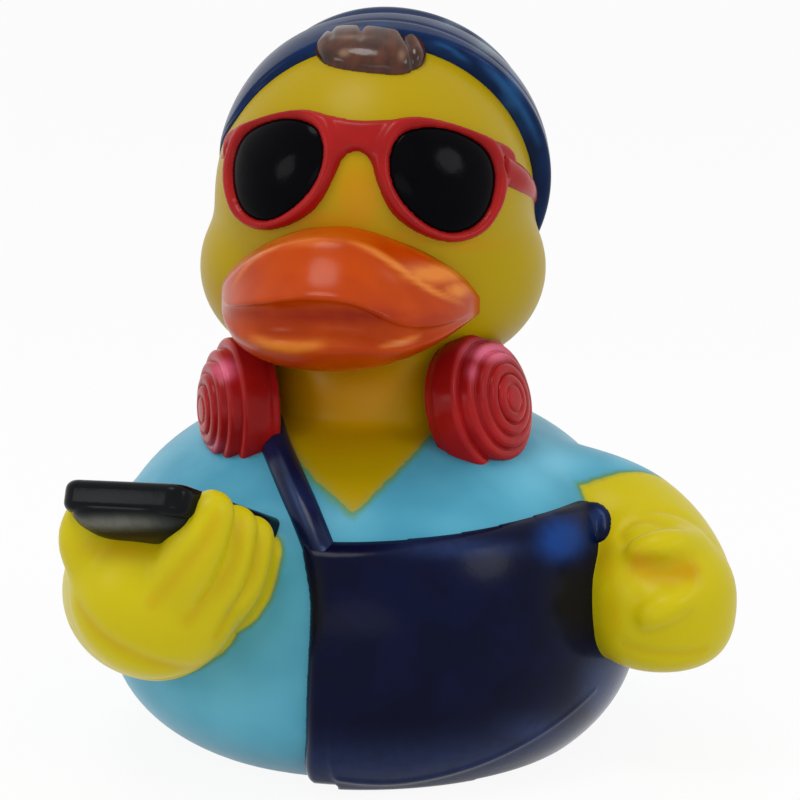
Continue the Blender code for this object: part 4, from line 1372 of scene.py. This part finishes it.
# Painted light on the bill: highlights on the ridge, the right side, the top edge and the lower lip, and shade in the
# mouth.
piece(
    "bill", bill, orange_bill, "orange_paint",
    light=np.maximum(
        marks(bill, ((436, 274, 34, 10, 1.0), (458, 290, 14, 9, 0.9), (300, 240, 60, 8, 0.5), (300, 342, 70, 7, 0.3))),
        strokes(bill, (
            (((340, 238), (372, 250), (400, 268), (430, 289), (468, 306)), 4.0, 0.9),
            (((246, 336), (272, 345), (300, 347), (330, 342)), 7.0, 0.9),
            (((376, 347), (402, 342), (424, 334)), 3.5, 0.8),
            (((229, 292), (250, 262), (282, 244), (320, 234)), 3.0, 0.6),
        )),
    ),
    deep=marks(bill, ((335, 316, 90, 10, 0.7), (420, 322, 40, 7, 0.5), (255, 314, 40, 8, 0.5), (440, 318, 26, 7, 0.5))),
)
for side, form in zip(("right", "left"), cups.values()):
    piece(
        "cup_" + side, form, red_cups, "red_paint",
        sheen=marks(form, ((490, 352, 26, 10, 0.9), (224, 370, 14, 12, 0.8), (472, 372, 8, 12, 0.5), (214, 446, 12, 10, 0.4))),
        dark=marks(form, ((442, 405, 16, 60, 0.9), (256, 400, 16, 60, 0.9))),
    )
piece("band", band, red_cups, "red_paint", sheen=np.zeros(len(band[0])), dark=np.zeros(len(band[0])))
# Painted light on the bag: a highlight along its top, a reflection of the floor that grows towards the bottom, and
# shade beside the hand, with darker marks along the left edge and at the tab.
for name, form in (("bag", bag), ("bag_tab", tab)):
    piece(
        name, form, navy_bag, "navy_paint",
        pale=np.maximum(
            marks(form, ((460, 548, 80, 14, 0.5), (612, 690, 30, 44, 1.0), (540, 735, 60, 26, 0.5), (597, 520, 13, 16, 0.5))),
            0.45 * ease(-form[0][:, 2], -13.0, -3.0),
        ),
        patch=marks(form, ((562, 540, 26, 24, 1.0), (600, 515, 10, 12, 0.4))),
        soot=marks(form, ((578, 600, 34, 44, 1.0), (318, 600, 9, 50, 0.8), (565, 510, 12, 5, 0.8))),
    )
# The strap's pale strokes are painted highlights.
piece(
    "strap", strap, navy_strap, "navy_paint",
    pale=strokes(strap, ((((276, 446), (292, 488), (312, 534), (322, 552)), 3.0, 0.6), (((320, 545), (330, 560)), 2.5, 0.9))),
)
piece("phone", phone, black_phone, "black_paint", grey=np.zeros(len(phone[0])), brown=marks(phone, ((255, 510, 26, 14, 0.8),)))
piece(
    "phone_back", phone_back, black_phone, "black_paint",
    grey=marks(phone_back, ((112, 523, 60, 9, 0.7),)), brown=marks(phone_back, ((135, 541, 40, 5, 0.8),)),
)

# %% [markdown]
# ## Stage and light
# The duck stands on a plain pale floor under large soft lamps, as on a product table.
# The floor and the world look white to the camera, and the floor still takes the duck's shadow.

# %% Floor
FLOOR_HALF = 30.0
FLOOR_GLOW = 0.92


def straight_look(nodes):
    """1 for what the camera sees directly, in a gloss or through glass, and 0 for light on the object."""
    found = nodes.add("ShaderNodeLightPath", {}, {}, "Is Camera Ray")
    for kind in ("Is Glossy Ray", "Is Transmission Ray"):
        ray = nodes.add("ShaderNodeLightPath", {}, {}, kind)
        found = nodes.add("ShaderNodeMath", {"operation": "MAXIMUM"}, {0: found, 1: ray})
    return found


def stage_floor():
    bm = bmesh.new()
    bmesh.ops.create_grid(bm, x_segments=1, y_segments=1, size=FLOOR_HALF)
    mesh = bpy.data.meshes.new("floor")
    bm.to_mesh(mesh)
    bm.free()
    floor = bpy.data.objects.new("floor", mesh)
    floor.location.z = -0.0002
    bpy.context.scene.collection.objects.link(floor)
    material = bpy.data.materials.new("floor")
    material.use_nodes = True
    nodes = Nodes(material.node_tree)
    values = {"Base Color": (0.85, 0.85, 0.85, 1), "Roughness": 0.9, "Specular IOR Level": 0.1}
    plain = nodes.add("ShaderNodeBsdfPrincipled", {}, values)
    glow = nodes.add("ShaderNodeEmission", {}, {"Strength": 1.0})
    mixed = nodes.add("ShaderNodeMixShader", {}, {0: straight_look(nodes) * FLOOR_GLOW, 1: plain, 2: glow})
    nodes.feed(nodes.tree.nodes["Material Output"].inputs["Surface"], mixed)
    mesh.materials.append(material)


stage_floor()


# %% Lamps and world
def soft_lamp(name, place, size, power):
    """A round soft lamp that looks at the duck."""
    data = bpy.data.lights.new(name, "AREA")
    data.shape = "DISK"
    data.size = size
    data.energy = power
    lamp = bpy.data.objects.new(name, data)
    lamp.location = place
    lamp.rotation_euler = (Vector((0, 0, 0.045)) - Vector(place)).to_track_quat("-Z", "Y").to_euler()
    bpy.context.scene.collection.objects.link(lamp)


soft_lamp("top", (-0.12, -0.2, 0.7), 0.28, 1.5)
soft_lamp("left", (-0.6, -0.45, 0.3), 0.25, 0.6)
soft_lamp("right", (0.6, -0.25, 0.4), 0.25, 0.8)
soft_lamp("front", (0.05, -0.8, 0.02), 0.5, 0.7)

WORLD_LIGHT = 0.66
world = bpy.data.worlds.new("world")
world.use_nodes = True
bpy.context.scene.world = world
nodes = Nodes(world.node_tree)
backdrop = nodes.tree.nodes["Background"]
nodes.feed(backdrop.inputs["Color"], (1, 1, 1, 1))
nodes.feed(backdrop.inputs["Strength"], WORLD_LIGHT + straight_look(nodes) * (1 - WORLD_LIGHT))
bpy.context.scene.view_settings.view_transform = "Standard"
